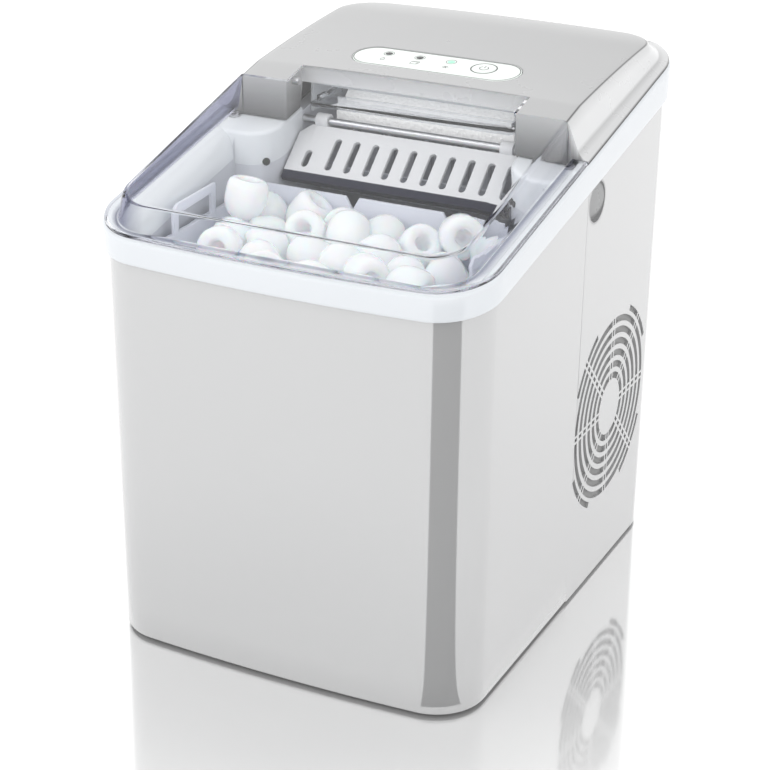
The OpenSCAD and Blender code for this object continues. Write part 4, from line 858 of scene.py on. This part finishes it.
def build_lid():
    """Clear lid: a hood whose closed end is at the front. Its crease is a 3 mm round, its wall flares out to the base
    line, and a flange carries on to the rim's edge. The tongue between the cover's ears is the grid's own rows."""
    s = sizes()
    radius = 3 * MM
    half = s.lid_half_width - 2.2 * MM
    front = FRONT_Y + 11.4 * MM + 2.2 * MM
    corner = s.lid_corner - 2.2 * MM
    side_start = EAR_Y - 1 * MM
    tongue_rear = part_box("lid")[1].y
    shape = corner_half(half, corner, front, -1)
    rows_y = np.concatenate([np.linspace(tongue_rear, side_start, 6)[:-1],
                             corner_rows(side_start, front, corner, 26, 16)])
    open_rows = rows_y <= side_start + 1e-9
    closed_rows = np.ones(len(rows_y), bool)
    notch = {"columns": np.linspace(-TONGUE_X, TONGUE_X, 31), "outer": 5}
    flange = 1.4 * MM

    def rim_height(lift):
        return lambda edge, flat: part_z(flat[:, 1]) + lift * MM

    def below(drop):
        return lambda edge, flat: edge[:, 2] - drop

    def wall(share):
        """Straight run from under the crease to the base line, by share of the way down."""
        return lambda edge, flat: (edge[:, 2] - 2.2 * MM) * (1 - share) + (part_z(flat[:, 1]) + 3.4 * MM) * share

    rings = [(d, below(h)) for d, h in arc_rings(radius, math.radians(76))]
    last = rings[-1][0]
    rings += [(last + 3.0 * MM * t, wall(t)) for t in (0.25, 0.5, 0.75, 1.0)]
    foot = last + 3.0 * MM
    rings += [(foot + 0.35 * MM, rim_height(2.95)), (foot + 0.9 * MM, rim_height(2.8))]
    points, faces, number, _, path = hood(rows_y, shape, notch, open_rows, closed_rows,
                                          lambda x, y: lid_z(y) + 0 * x, rings)
    ring_count = len(path)
    base = points[-ring_count:]
    target = flange_edge(points[path], half, corner, flange)
    extra, extra_faces, extra_number = [], [], []
    count = len(points)
    previous = count - ring_count + np.arange(ring_count)
    lifts = [(0.5, 2.8), (0.96, 2.8), (0.995, 2.55), (1.0, 2.0), (1.0, 0.9)]
    for k, (share, lift) in enumerate(lifts):
        flat = base[:, :2] + (target - base[:, :2]) * share
        extra.append(np.column_stack([flat, part_z(flat[:, 1]) + lift * MM]))
        current = count + np.arange(ring_count)
        extra_faces.append(np.stack([previous[:-1], previous[1:], current[1:], current[:-1]], -1))
        extra_number.append(np.full(ring_count, len(rings) + 1.0 + k))
        previous = current
        count += ring_count
    points = np.vstack([points, *extra])
    faces = np.vstack([faces, *extra_faces])
    number = np.concatenate([number, *extra_number])
    last_ring = number.max()
    tint_and_painted_shade = np.zeros(len(points))
    # The flange's outer rings and the base line take the deep colour the plastic shows through its thickness at its
    # edges.
    tint_and_painted_shade[number >= last_ring - 1] = 0.4
    tint_and_painted_shade[number == len(rings)] = 0.7
    # Painted shade: the left side wall is tinted much deeper than the right, though both are the same clear plastic.
    wall_side = (number >= 1) & (number < len(rings) - 1)
    outward = points[wall_side, 0] / MM
    tint_and_painted_shade[wall_side] = 0.8 * np.clip(-outward / 18 - 4.55, 0, 1) + 0.2 * np.clip(outward / 18 - 4.55, 0, 1)
    add_piece("clear_lid_shell", points, faces, clear_lid(), "lid", ["lid"],
              thickness=s.lid_wall, up=(0, 0, 1), sharp=50, attribute=("tint_and_painted_shade", tint_and_painted_shade), lets_light=True)


def build_cover():
    """Silver cover: a hood whose closed end is at the rear. Its top follows the crest line, falls by cover_crown to
    the side creases, and is sunk by 1.5 mm inside the panel's stadium. A steep facet and a flatter one lead down to
    the joint. A skirt hangs from the front edge of each ear and from the notch."""
    s = sizes()
    radius = 3.2 * MM
    crease = 106 * MM - 2 * MM
    rear = REAR_Y - 9.0 * MM
    corner = s.cover_corner
    shape = corner_half(crease, corner, rear, 1)
    tongue = TONGUE_X + 1 * MM
    rows_y = np.concatenate([np.linspace(EAR_Y, NOTCH_Y, 8)[:-1], np.linspace(NOTCH_Y, 31 * MM, 8)[:-1],
                             np.linspace(31 * MM, 63 * MM, 50)[:-1], corner_rows(63 * MM, rear, corner, 22, 14)])
    inner = np.concatenate([np.linspace(-tongue, -55 * MM, 8)[:-1], np.linspace(-55 * MM, 58 * MM, 168)[:-1],
                            np.linspace(58 * MM, tongue, 7)])
    notch = {"columns": inner, "outer": 7}
    open_rows = np.ones(len(rows_y), bool)
    closed_rows = rows_y >= NOTCH_Y - 1e-9

    def top(x, y):
        """Crest less the crown's fall, which grows with the square of the width, less the panel's pocket."""
        fall = s.cover_crown * (x / crease) ** 2
        rear_fall = 1.2 * MM * np.clip((y - rear + 26 * MM) / (26 * MM), 0, 1) ** 2
        along = np.abs(x - PANEL_X) - (PANEL_L - PANEL_W) / 2
        away = np.hypot(np.maximum(along, 0), (y - PANEL_Y) / math.cos(PANEL_TILT)) - PANEL_W / 2
        pocket = 1.5 * MM * np.clip(-away / (0.6 * MM) + 0.3, 0, 1)
        return crest_z(y) - fall - rear_fall - pocket

    rings = [(d, (lambda h: lambda edge, flat: edge[:, 2] - h)(h)) for d, h in arc_rings(radius, math.radians(68))]
    d = rings[-1][0]

    def facet(share):
        """Run from under the crease to the soft line, which is 5.8 mm above the joint and climbs a little less."""
        def at(edge, flat):
            high = edge[:, 2] - 2.0 * MM
            low = PART_Z0 + 5.8 * MM + 0.18 * flat[:, 1]
            low = np.minimum(np.maximum(low, part_z(flat[:, 1]) + 2.4 * MM), high - 1 * MM)
            return high * (1 - share) + low * share
        return at

    mid = 113.2 * MM - crease
    rings += [(d + (mid - d) * t, facet(t * 0.97)) for t in (0.3, 0.6, 0.85, 1.0)]
    rings += [(mid + 2.6 * MM, lambda edge, flat: (part_z(flat[:, 1]) + facet(1.0)(edge, flat)) / 2 + 0.5 * MM),
              (mid + 5.0 * MM, lambda edge, flat: part_z(flat[:, 1]) + 1.3 * MM),
              (mid + 5.9 * MM, lambda edge, flat: part_z(flat[:, 1]) + 0.5 * MM),
              (mid + 6.1 * MM, lambda edge, flat: part_z(flat[:, 1]) + 0.02 * MM)]
    points, faces, number, index, path = hood(rows_y, shape, notch, open_rows, closed_rows, top, rings)
    points[:, 1] = np.minimum(points[:, 1], REAR_Y - 1.4 * MM)
    n_path = len(path)
    ring_start = len(rows_y) * index.shape[1]
    ring_index = ring_start + np.arange(len(rings) * n_path).reshape(len(rings), n_path)
    first = np.concatenate([ring_index[::-1, 0], [path[0]]])
    last = np.concatenate([[path[-1]], ring_index[:, -1]])
    k = notch["outer"]
    columns = index.shape[1]
    step = np.flatnonzero(rows_y <= NOTCH_Y + 1e-9)
    left_front = index[0, 0:k + 1]
    left_side = index[step, k]
    middle = index[step[-1], k:columns - k]
    right_side = index[step[::-1], columns - 1 - k]
    right_front = index[0, columns - 1 - k:]
    run = np.concatenate([first[:-1], left_front, left_side[1:], middle[1:], right_side[1:], right_front[1:],
                          last[1:]])
    top_points = points[run]
    low = top_points.copy()
    x, y = np.abs(low[:, 0]), low[:, 1]
    over_notch = y > NOTCH_Y - 0.1 * MM
    low[:, 2] = np.where(over_notch, low[:, 2] - 11 * MM, np.minimum(part_z(y) - 1.5 * MM, low[:, 2]))
    low[:, 2] = np.minimum(low[:, 2], top_points[:, 2] - 0.2 * MM)
    deck = part_z(y) + 0.3 * MM
    low[:, 2] = np.where((x > 110 * MM) & (y < NOTCH_Y - 0.1 * MM),
                         np.minimum(deck, top_points[:, 2] - 0.2 * MM), low[:, 2])
    count = len(points)
    current = count + np.arange(len(run))
    faces = np.vstack([faces, np.stack([run[:-1], run[1:], current[1:], current[:-1]], -1)])
    points = np.vstack([points, low])
    number = np.concatenate([number, np.where(over_notch, -2.0, -1.0)])
    # Painted light and shade, multiplied into the cover's colour: the notch skirt is painted light and the ear skirts
    # painted shade, the top is painted lighter towards the front, the crease's first ring is a dark painted
    # reflection line, the crease's other rings and the facets are painted light, and the last two rings at the joint
    # are a painted shadow line.
    toward_front = np.clip((rear - points[:, 1]) / (rear - NOTCH_Y), 0, 1)
    tones = [(-1.5, 1.9), (0, 0.32), (0.5, 0.88 + 0.42 * toward_front), (1.5, 0.08), (4.5, 1.75), (7.5, 2.0),
             (8.5, 1.35), (10.5, 1.8)]
    tone = np.select([number < ring for ring, _ in tones], [value for _, value in tones], 0.08)
    add_piece("cover_shell", points, faces, painted_light_toned(slot_finish("silver_plastic")), "housing",
              ["top_cover"], thickness=s.cover_wall, up=(0, 0, 1), sharp=45, attribute=("tone", tone))


# ---- control panel ----

PANEL_X, PANEL_Y = 1.5 * MM, 47 * MM
PANEL_L, PANEL_W = 110 * MM, 29 * MM
PANEL_TILT = math.atan(float(crest_z(PANEL_Y + 0.01) - crest_z(PANEL_Y - 0.01)) / 0.02)
LAMPS = ((-34.0, 5.5), (-13.3, 5.5), (7.6, 5.5))
BUTTON = (30.4, 2.2)


def on_panel(points):
    """Points in the panel's own plane and height, in millimetres, tilted and placed on the cover."""
    p = np.asarray(points, float).reshape(-1, 3) * MM
    c, s = math.cos(PANEL_TILT), math.sin(PANEL_TILT)
    x = p[:, 0] + PANEL_X
    y = PANEL_Y + p[:, 1] * c - p[:, 2] * s
    z = float(crest_z(PANEL_Y)) + p[:, 1] * s + p[:, 2] * c
    return np.column_stack([x, y, z])


def ribbon(path, width, height, closed=False):
    """A flat band of one width along a path in the panel's plane: each point gives two, to either side."""
    path = np.asarray(path, float)
    if closed:
        tangent = np.roll(path, -1, 0) - np.roll(path, 1, 0)
    else:
        tangent = np.gradient(path, axis=0)
    tangent /= np.linalg.norm(tangent, axis=1)[:, None]
    across = np.column_stack([-tangent[:, 1], tangent[:, 0]]) * width / 2
    rows = np.stack([path + across, path - across])
    points = np.concatenate([rows.reshape(-1, 2), np.full((2 * len(path), 1), height)], 1)
    return points, grid_faces(2, len(path), False, closed)


def circle(x, y, r, count=40, a0=0.0, a1=2 * math.pi, end=False):
    a = np.linspace(a0, a1, count, endpoint=end)
    return np.column_stack([x + r * np.cos(a), y + r * np.sin(a)])


def stadium(length, width, count=24):
    """Outline of a bar with half-round ends."""
    half = (length - width) / 2
    return np.vstack([circle(half, 0, width / 2, count, -math.pi / 2, math.pi / 2, True),
                      circle(-half, 0, width / 2, count, math.pi / 2, 3 * math.pi / 2, True)])


def build_panel():
    """Overlay: the stadium outline shrunk towards its spine in rings, flat with a rolled edge, sunk in the cover's
    pocket. Marks are thin bands: rings round lamps and button, a drop, an ice cube and a power sign."""
    s = sizes()
    outline = stadium(s.panel_length / MM, s.panel_width / MM)
    half = (s.panel_length - s.panel_width) / 2 / MM
    spine = np.column_stack([np.clip(outline[:, 0], -half, half), np.zeros(len(outline))])
    rows = []
    for share, height in ((0.99, -1.5), (1.0, -0.75), (0.99, -0.5), (0.972, -0.4), (0.7, -0.4), (0.3, -0.4),
                          (0.0, -0.4)):
        rows.append(np.column_stack([spine + (outline - spine) * share, np.full(len(outline), height)]))
    points = on_panel(np.vstack(rows))
    add_piece("panel_face", points, grid_faces(len(rows), len(outline), False, True), slot_finish("mint_plastic"),
              "housing", ["panel_overlay"], up=(0, 0, 1), sharp=60)
    top = -0.34
    bands = [(stadium(s.panel_length / MM - 1.6, s.panel_width / MM - 1.6), 0.5, True),
             (circle(*BUTTON, 7.9), 0.75, True)]
    bands += [(circle(x, y, 3.2), 0.35, True) for x, y in LAMPS]
    a = np.linspace(0, 2 * math.pi, 28, endpoint=False)
    drop = np.column_stack([-34 + 1.5 * np.sin(a) * np.sin(a / 2), -3.6 + 2.0 * np.cos(a)])
    bands.append((drop, 0.35, True))
    cube = np.array([[-15.3, -5.2], [-11.3, -5.2], [-11.3, -2.0], [-15.3, -2.0]])
    bands += [(cube, 0.35, True), (np.array([[-15.3, -2.0], [-14.3, -1.0], [-10.3, -1.0], [-11.3, -2.0]]), 0.3, True),
              (np.array([[-11.3, -5.2], [-10.3, -4.2], [-10.3, -1.0]]), 0.3, False)]
    for k in range(3):
        t = math.pi * k / 3
        arm = np.array([math.cos(t), math.sin(t)]) * 2.0
        bands.append((np.array([[7.6, -3.4] - arm, [7.6, -3.4], [7.6, -3.4] + arm]), 0.35, False))
    count = 0
    all_points, all_faces = [], []
    for path, width, closed in bands:
        p, f = ribbon(path, width, top, closed)
        all_points.append(p)
        all_faces.append(f + count)
        count += len(p)
    add_piece("panel_marks", on_panel(np.vstack(all_points)), np.vstack(all_faces),
              finish("printed_ink", (0.10, 0.10, 0.10), drift=0.1, roughness=0.5), "housing",
              thickness=0.05 * MM, up=(0, 0, 1))
    sign = [ribbon(circle(*BUTTON, 2.7, 24, math.radians(125), math.radians(415), True), 0.5, 0),
            ribbon(np.array([[BUTTON[0], BUTTON[1] + rise] for rise in (0.4, 1.8, 3.4)]), 0.5, 0)]
    button_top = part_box("power_button")[1].z
    lift = (button_top - on_panel([[BUTTON[0], BUTTON[1] + 7.2, 0]])[0, 2]) / MM + 0.04
    p = np.vstack([q[0] + [0, 0, lift] for q in sign])
    f = np.vstack([sign[0][1], sign[1][1] + len(sign[0][0])])
    add_piece("power_sign", on_panel(p), f, finish("printed_ink", (0.10, 0.10, 0.10)), "button",
              thickness=0.05 * MM, up=(0, 0, 1))
    merged_copy("power_button", "power_key", slot_finish("mint_plastic"), bevel=0.3 * MM, segments=3)
    merged_copy("indicator_lenses", "lamps", lamp_lens(), bevel=0.25 * MM)


# ---- tub, basket, shovel, ice ----

def build_inside():
    """Welded, softened copies of the basket, shovel and cold plate, each with its own finish."""
    merged_copy("ice_basket", "basket_shell", slot_finish("basket_plastic"), bevel=0.45 * MM)
    merged_copy("ice_shovel", "shovel_plate", shovel_finish(), bevel=0.35 * MM)
    merged_copy("evaporator_body", "cold_bar", frosted_metal_painted_glow(), bevel=1.0 * MM, segments=3)
    shield = merged_copy("evaporator_shield", "drip_shield", slot_finish("clear_plastic"), bevel=0.3 * MM)
    shield.visible_shadow = shield.visible_diffuse = False
    merged_copy("chamber_roof", "chamber_cap", slot_finish("white_plastic"), bevel=0.4 * MM)
    merged_copy("frame_screws", "deck_screws", slot_finish("steel"), bevel=0.2 * MM)
    merged_copy("ice_level_sensors", "eye_sensors", slot_finish("black_plastic"), bevel=0.3 * MM)


def settle(count, radius, seed):
    """Centres of a heap of equal balls in the basket: they fall, push each other apart where they overlap, and are
    held inside the walls and under a sloping ceiling, over a fixed number of steps on whole arrays."""
    rng = np.random.default_rng(seed)
    lo, hi = (np.array(c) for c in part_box("ice_basket"))
    wall = 2.0 * MM + radius
    low = np.array([lo[0] + wall, lo[1] + wall, lo[2] + wall])
    high = np.array([hi[0] - wall, -22 * MM - radius, 0])
    p = np.column_stack([rng.uniform(low[0], high[0], count), rng.uniform(low[1], high[1], count),
                         rng.uniform(low[2], low[2] + 0.14, count)])
    for step in range(420):
        p[:, 2] -= 0.0006 if step < 340 else 0.0001
        p[:, 0] += (0.012 - p[:, 0]) * 0.002 * (p[:, 2] > 0.225)
        for _ in range(3):
            gap = p[:, None] - p[None]
            distance = np.linalg.norm(gap, axis=2) + np.eye(count)
            push = np.clip(2 * radius - distance, 0, None) * 0.32
            p += (gap / distance[..., None] * push[..., None]).sum(1)
            ceiling = LID_Z0 + 0.26 * p[:, 1] - 25.7 * MM - radius
            p[:, :2] = np.clip(p[:, :2], low[:2], high[:2])
            p[:, 2] = np.clip(p[:, 2], low[2], ceiling)
    return p, rng


def ice_material():
    """Cloudy ice: milky body with a clear, wet skin and fine cracks in its tone, and a faint painted glow that
    brightens it though it is no lamp.
    """
    return finish("cloudy_ice_painted_glow", (0.93, 0.95, 0.965), drift=0.02, drift_scale=120, roughness=0.08, spread=0.1,
                  smear_scale=90, grain=260, swell=1.0, depth=0.04, Transmission_Weight=0.3, IOR=1.31,
                  Subsurface_Weight=0.5, Subsurface_Scale=0.012, Emission_Color=(0.9, 0.95, 1, 1),
                  Emission_Strength=0.06)


def build_ice():
    """Bullet-shaped ice: one profile turned round its axis, domed at one end and hollow at the other.
    Each copy is turned by its own rotation matrix and moved to its place in the heap."""
    s = sizes()
    r, l = s.bullet_radius, s.bullet_length
    t = np.radians([4, 20, 36, 52, 66, 79, 90])
    dome = np.column_stack([np.cos(t), 1 - r / l * (1 - np.sin(t))])
    hollow = np.array([(0.0, 0.66), (0.20, 0.63), (0.30, 0.52), (0.35, 0.28), (0.40, 0.07), (0.50, 0.0), (0.76, 0.0),
                       (0.91, 0.05), (0.98, 0.15), (1.0, 0.3)])
    profile = np.vstack([hollow, dome]) * [r, l] - [0, l / 2]
    around = 20
    a = np.linspace(0, 2 * math.pi, around, endpoint=False)
    ring = np.stack([profile[:, 0, None] * np.cos(a), profile[:, 0, None] * np.sin(a),
                     np.repeat(profile[:, 1, None], around, 1)], -1).reshape(-1, 3)
    faces = grid_faces(len(profile), around, False, True)
    centres, rng = settle(s.bullet_count, r, 11)
    count = len(centres)
    q = rng.normal(size=(count, 4))
    q /= np.linalg.norm(q, axis=1)[:, None]
    w, x, y, z = q.T
    turn = np.stack([np.stack([1 - 2 * (y * y + z * z), 2 * (x * y - z * w), 2 * (x * z + y * w)], -1),
                     np.stack([2 * (x * y + z * w), 1 - 2 * (x * x + z * z), 2 * (y * z - x * w)], -1),
                     np.stack([2 * (x * z - y * w), 2 * (y * z + x * w), 1 - 2 * (x * x + y * y)], -1)], 1)
    shown = np.argsort(-centres[:, 2])[1:16:3]
    axis = np.array([-0.45, 0.80, -0.42]) + rng.uniform(-0.35, 0.35, (len(shown), 3))
    axis /= np.linalg.norm(axis, axis=1)[:, None]
    across = np.cross(axis, [0.0, 0.0, 1.0])
    across /= np.linalg.norm(across, axis=1)[:, None]
    turn[shown] = np.stack([across, np.cross(axis, across), axis], -1)
    scale = rng.uniform(0.93, 1.0, (count, 1, 1))
    points = np.einsum("nij,kj->nki", turn, ring) * scale + centres[:, None]
    all_faces = (faces[None] + (np.arange(count) * len(ring))[:, None, None]).reshape(-1, 4)
    add_piece("ice_heap", points, all_faces, ice_material(), "basket", sharp=60)


# ---- stage ----

def build_stage():
    """Pale floor with a soft mirror near the object, an even bright surround that is a little darker overhead, a
    dark card for the gloss to pick up, and the camera."""
    floor_mesh = bpy.data.meshes.new("floor")
    size = 9.0
    corners = [(-size, -size, 0), (size, -size, 0), (size, size, 0), (-size, size, 0)]
    floor_mesh.from_pydata(corners, [], [(0, 1, 2, 3)])
    floor = bpy.data.objects.new("floor", floor_mesh)
    bpy.context.scene.collection.objects.link(floor)
    material = finish("floor", colours().floor, drift=0.004, drift_scale=2, roughness=0.07, spread=0.02,
                      grain=300, depth=0.002, Specular_IOR_Level=0.6)
    tree = material.node_tree
    shader = tree.nodes["Principled BSDF"]
    place = tree.nodes.new("ShaderNodeTexCoord")
    squeeze = tree.nodes.new("ShaderNodeMapping")
    squeeze.inputs["Scale"].default_value = (1.0, 0.8, 1.0)
    distance = tree.nodes.new("ShaderNodeVectorMath")
    distance.operation = "LENGTH"
    tree.links.new(place.outputs["Object"], squeeze.inputs["Vector"])
    tree.links.new(squeeze.outputs["Vector"], distance.inputs[0])
    mirror = map_range(tree, distance.outputs["Value"], (0.16, 0.36), (0.7, 0.03), "SMOOTHSTEP")
    tree.links.new(mirror, shader.inputs["Metallic"])
    shader.inputs["Emission Color"].default_value = (1, 1, 1, 1)
    glow = math_node(tree, "SUBTRACT", 1.0, mirror)
    tree.links.new(math_node(tree, "MULTIPLY", glow, 0.17), shader.inputs["Emission Strength"])
    floor.data.materials.append(material)

    build_card()

    world = bpy.data.worlds.new("studio")
    bpy.context.scene.world = world
    world.use_nodes = True
    tree = world.node_tree
    sky = tree.nodes["Background"]
    place = tree.nodes.new("ShaderNodeTexCoord")
    split = tree.nodes.new("ShaderNodeSeparateXYZ")
    tree.links.new(place.outputs["Generated"], split.inputs[0])
    tree.links.new(map_range(tree, split.outputs["Z"], (0.15, 0.95), (1.42, 1.0)), sky.inputs["Strength"])
    sky.inputs["Color"].default_value = (1.0, 1.0, 1.0, 1)

    lamp_data = bpy.data.lights.new("softbox", "AREA")
    lamp_data.shape, lamp_data.size, lamp_data.size_y, lamp_data.energy = "RECTANGLE", 1.6, 1.1, 9.0
    lamp = bpy.data.objects.new("softbox", lamp_data)
    lamp.visible_glossy = False
    bpy.context.scene.collection.objects.link(lamp)
    lamp.location = (-1.2, -1.4, 1.7)
    lamp.rotation_euler = (Vector((0, 0, 0.15)) - lamp.location).to_track_quat("-Z", "Y").to_euler()

    build_camera()
    view = bpy.context.scene.view_settings
    view.view_transform, view.look, view.exposure, view.gamma = "Standard", "None", 0.0, 1.0


CARD_ANGLES = (5.0, 60.0)
CARD_REACH = (0.034, 0.9)


def build_card():
    """Dark card laid beside the front right corner, which only glossy surfaces pick up: a ring sector about the
    corner's upright axis. Seen from below it is clear, so the floor's own mirror misses it."""
    a = np.radians(np.linspace(*CARD_ANGLES, 24))
    centre = np.array([HALF_W - sizes().rim_radius, FRONT_Y + 37 * MM])
    spokes = np.column_stack([np.sin(a), -np.cos(a)])
    rows = [np.column_stack([centre + spokes * r, np.full(len(a), 0.8 * MM)]) for r in CARD_REACH]
    mesh = bpy.data.meshes.new("dark_card")
    mesh.from_pydata(np.vstack(rows).tolist(), [], grid_faces(2, len(a)).tolist())
    if mesh.polygons[0].normal.z < 0:
        mesh.flip_normals()
    card = bpy.data.objects.new("dark_card", mesh)
    bpy.context.scene.collection.objects.link(card)
    material = finish("card_black", (0.07, 0.07, 0.07), roughness=0.8)
    tree = material.node_tree
    side = tree.nodes.new("ShaderNodeNewGeometry")
    tree.links.new(math_node(tree, "SUBTRACT", 1.0, side.outputs["Backfacing"]),
                   tree.nodes["Principled BSDF"].inputs["Alpha"])
    card.data.materials.append(material)
    card.visible_camera = card.visible_shadow = card.visible_diffuse = card.visible_transmission = False


CAMERA = dict(azimuth=26.158, elevation=22.458, roll=0.662, distance=1.2325, target=(-0.00075, -0.0051, 0.160),
              lens=94.782857, shift=(-0.0080519481, -0.0615584416))


def build_camera():
    """Camera from its compass angle, height angle, roll, distance, lens in millimetres and shift."""
    az, el, roll = (math.radians(CAMERA[k]) for k in ("azimuth", "elevation", "roll"))
    back = Vector((math.sin(az) * math.cos(el), -math.cos(az) * math.cos(el), math.sin(el)))
    right = Vector((math.cos(az), math.sin(az), 0))
    up = back.cross(right)
    x = right * math.cos(roll) + up * math.sin(roll)
    y = -right * math.sin(roll) + up * math.cos(roll)
    data = bpy.data.cameras.new("camera")
    data.sensor_width = 36.0
    data.lens = CAMERA["lens"]
    data.shift_x, data.shift_y = CAMERA["shift"]
    data.clip_start, data.clip_end = 0.05, 60
    camera = bpy.data.objects.new("camera", data)
    bpy.context.scene.collection.objects.link(camera)
    place = Matrix((x, y, back)).transposed().to_4x4()
    place.translation = Vector(CAMERA["target"]) + back * CAMERA["distance"]
    camera.matrix_world = place
    bpy.context.scene.camera = camera


# ---- operators and panel ----

def dress_frame():
    """Gives every frame node that still shows the finish of its slot in the record."""
    for node, piece in frame["nodes"].items():
        if piece.hide_render:
            continue
        piece.data.materials.clear()
        piece.data.materials.append(slot_finish(SLOTS[node]))


class PieceOperator:
    """Runs the build function of one group of pieces."""

    def execute(self, _context):
        self.build()
        return {"FINISHED"}


class ICEMAKER_OT_panels(PieceOperator, bpy.types.Operator):
    """Body panels, scoops and rear fittings."""
    bl_idname = "icemaker.panels"
    bl_label = "Body panels"
    build = staticmethod(build_panels)


class ICEMAKER_OT_rim(PieceOperator, bpy.types.Operator):
    """White rim, tub and bosses."""
    bl_idname = "icemaker.rim"
    bl_label = "Rim and tub"
    build = staticmethod(build_rim)


class ICEMAKER_OT_cover(PieceOperator, bpy.types.Operator):
    """Silver top cover."""
    bl_idname = "icemaker.cover"
    bl_label = "Cover"
    build = staticmethod(build_cover)


class ICEMAKER_OT_lid(PieceOperator, bpy.types.Operator):
    """Clear hinged lid."""
    bl_idname = "icemaker.lid"
    bl_label = "Lid"
    build = staticmethod(build_lid)


class ICEMAKER_OT_panel(PieceOperator, bpy.types.Operator):
    """Control panel, lamps and button."""
    bl_idname = "icemaker.panel"
    bl_label = "Control panel"
    build = staticmethod(build_panel)


class ICEMAKER_OT_inside(PieceOperator, bpy.types.Operator):
    """Basket, shovel, cold bar and shield."""
    bl_idname = "icemaker.inside"
    bl_label = "Basket and shovel"
    build = staticmethod(build_inside)


class ICEMAKER_OT_ice(PieceOperator, bpy.types.Operator):
    """Heap of ice in the basket."""
    bl_idname = "icemaker.ice"
    bl_label = "Ice"
    build = staticmethod(build_ice)


class ICEMAKER_OT_dress(PieceOperator, bpy.types.Operator):
    """Finishes of the frame nodes that show."""
    bl_idname = "icemaker.dress"
    bl_label = "Frame finishes"
    build = staticmethod(dress_frame)


class ICEMAKER_OT_stage(PieceOperator, bpy.types.Operator):
    """Floor, surround, light and camera."""
    bl_idname = "icemaker.stage"
    bl_label = "Stage"
    build = staticmethod(build_stage)


OPERATORS = (ICEMAKER_OT_panels, ICEMAKER_OT_rim, ICEMAKER_OT_cover, ICEMAKER_OT_lid, ICEMAKER_OT_panel,
             ICEMAKER_OT_inside, ICEMAKER_OT_ice, ICEMAKER_OT_dress, ICEMAKER_OT_stage)


class ICEMAKER_PT_panel(bpy.types.Panel):
    """Lists the ice maker's pieces."""
    bl_label = "Ice maker"
    bl_idname = "ICEMAKER_PT_panel"
    bl_space_type = "VIEW_3D"
    bl_region_type = "UI"
    bl_category = "Ice maker"

    def draw(self, context):
        for operator in OPERATORS:
            self.layout.operator(operator.bl_idname)
        for group in (context.scene.ice_maker_sizes, context.scene.ice_maker_colours):
            for name in group.__annotations__:
                self.layout.prop(group, name)


CLASSES = (IceMakerSizes, IceMakerColours, *OPERATORS, ICEMAKER_PT_panel)


def register():
    for item in CLASSES:
        bpy.utils.register_class(item)
    bpy.types.Scene.ice_maker_sizes = PointerProperty(type=IceMakerSizes)
    bpy.types.Scene.ice_maker_colours = PointerProperty(type=IceMakerColours)


def unregister():
    del bpy.types.Scene.ice_maker_colours
    del bpy.types.Scene.ice_maker_sizes
    for item in reversed(CLASSES):
        bpy.utils.unregister_class(item)


def main():
    register()
    for operator in OPERATORS:
        group, name = operator.bl_idname.split(".")
        if getattr(getattr(bpy.ops, group), name)() != {"FINISHED"}:
            raise RuntimeError(operator.bl_idname + " didn't finish")


if __name__ == "__main__":
    main()
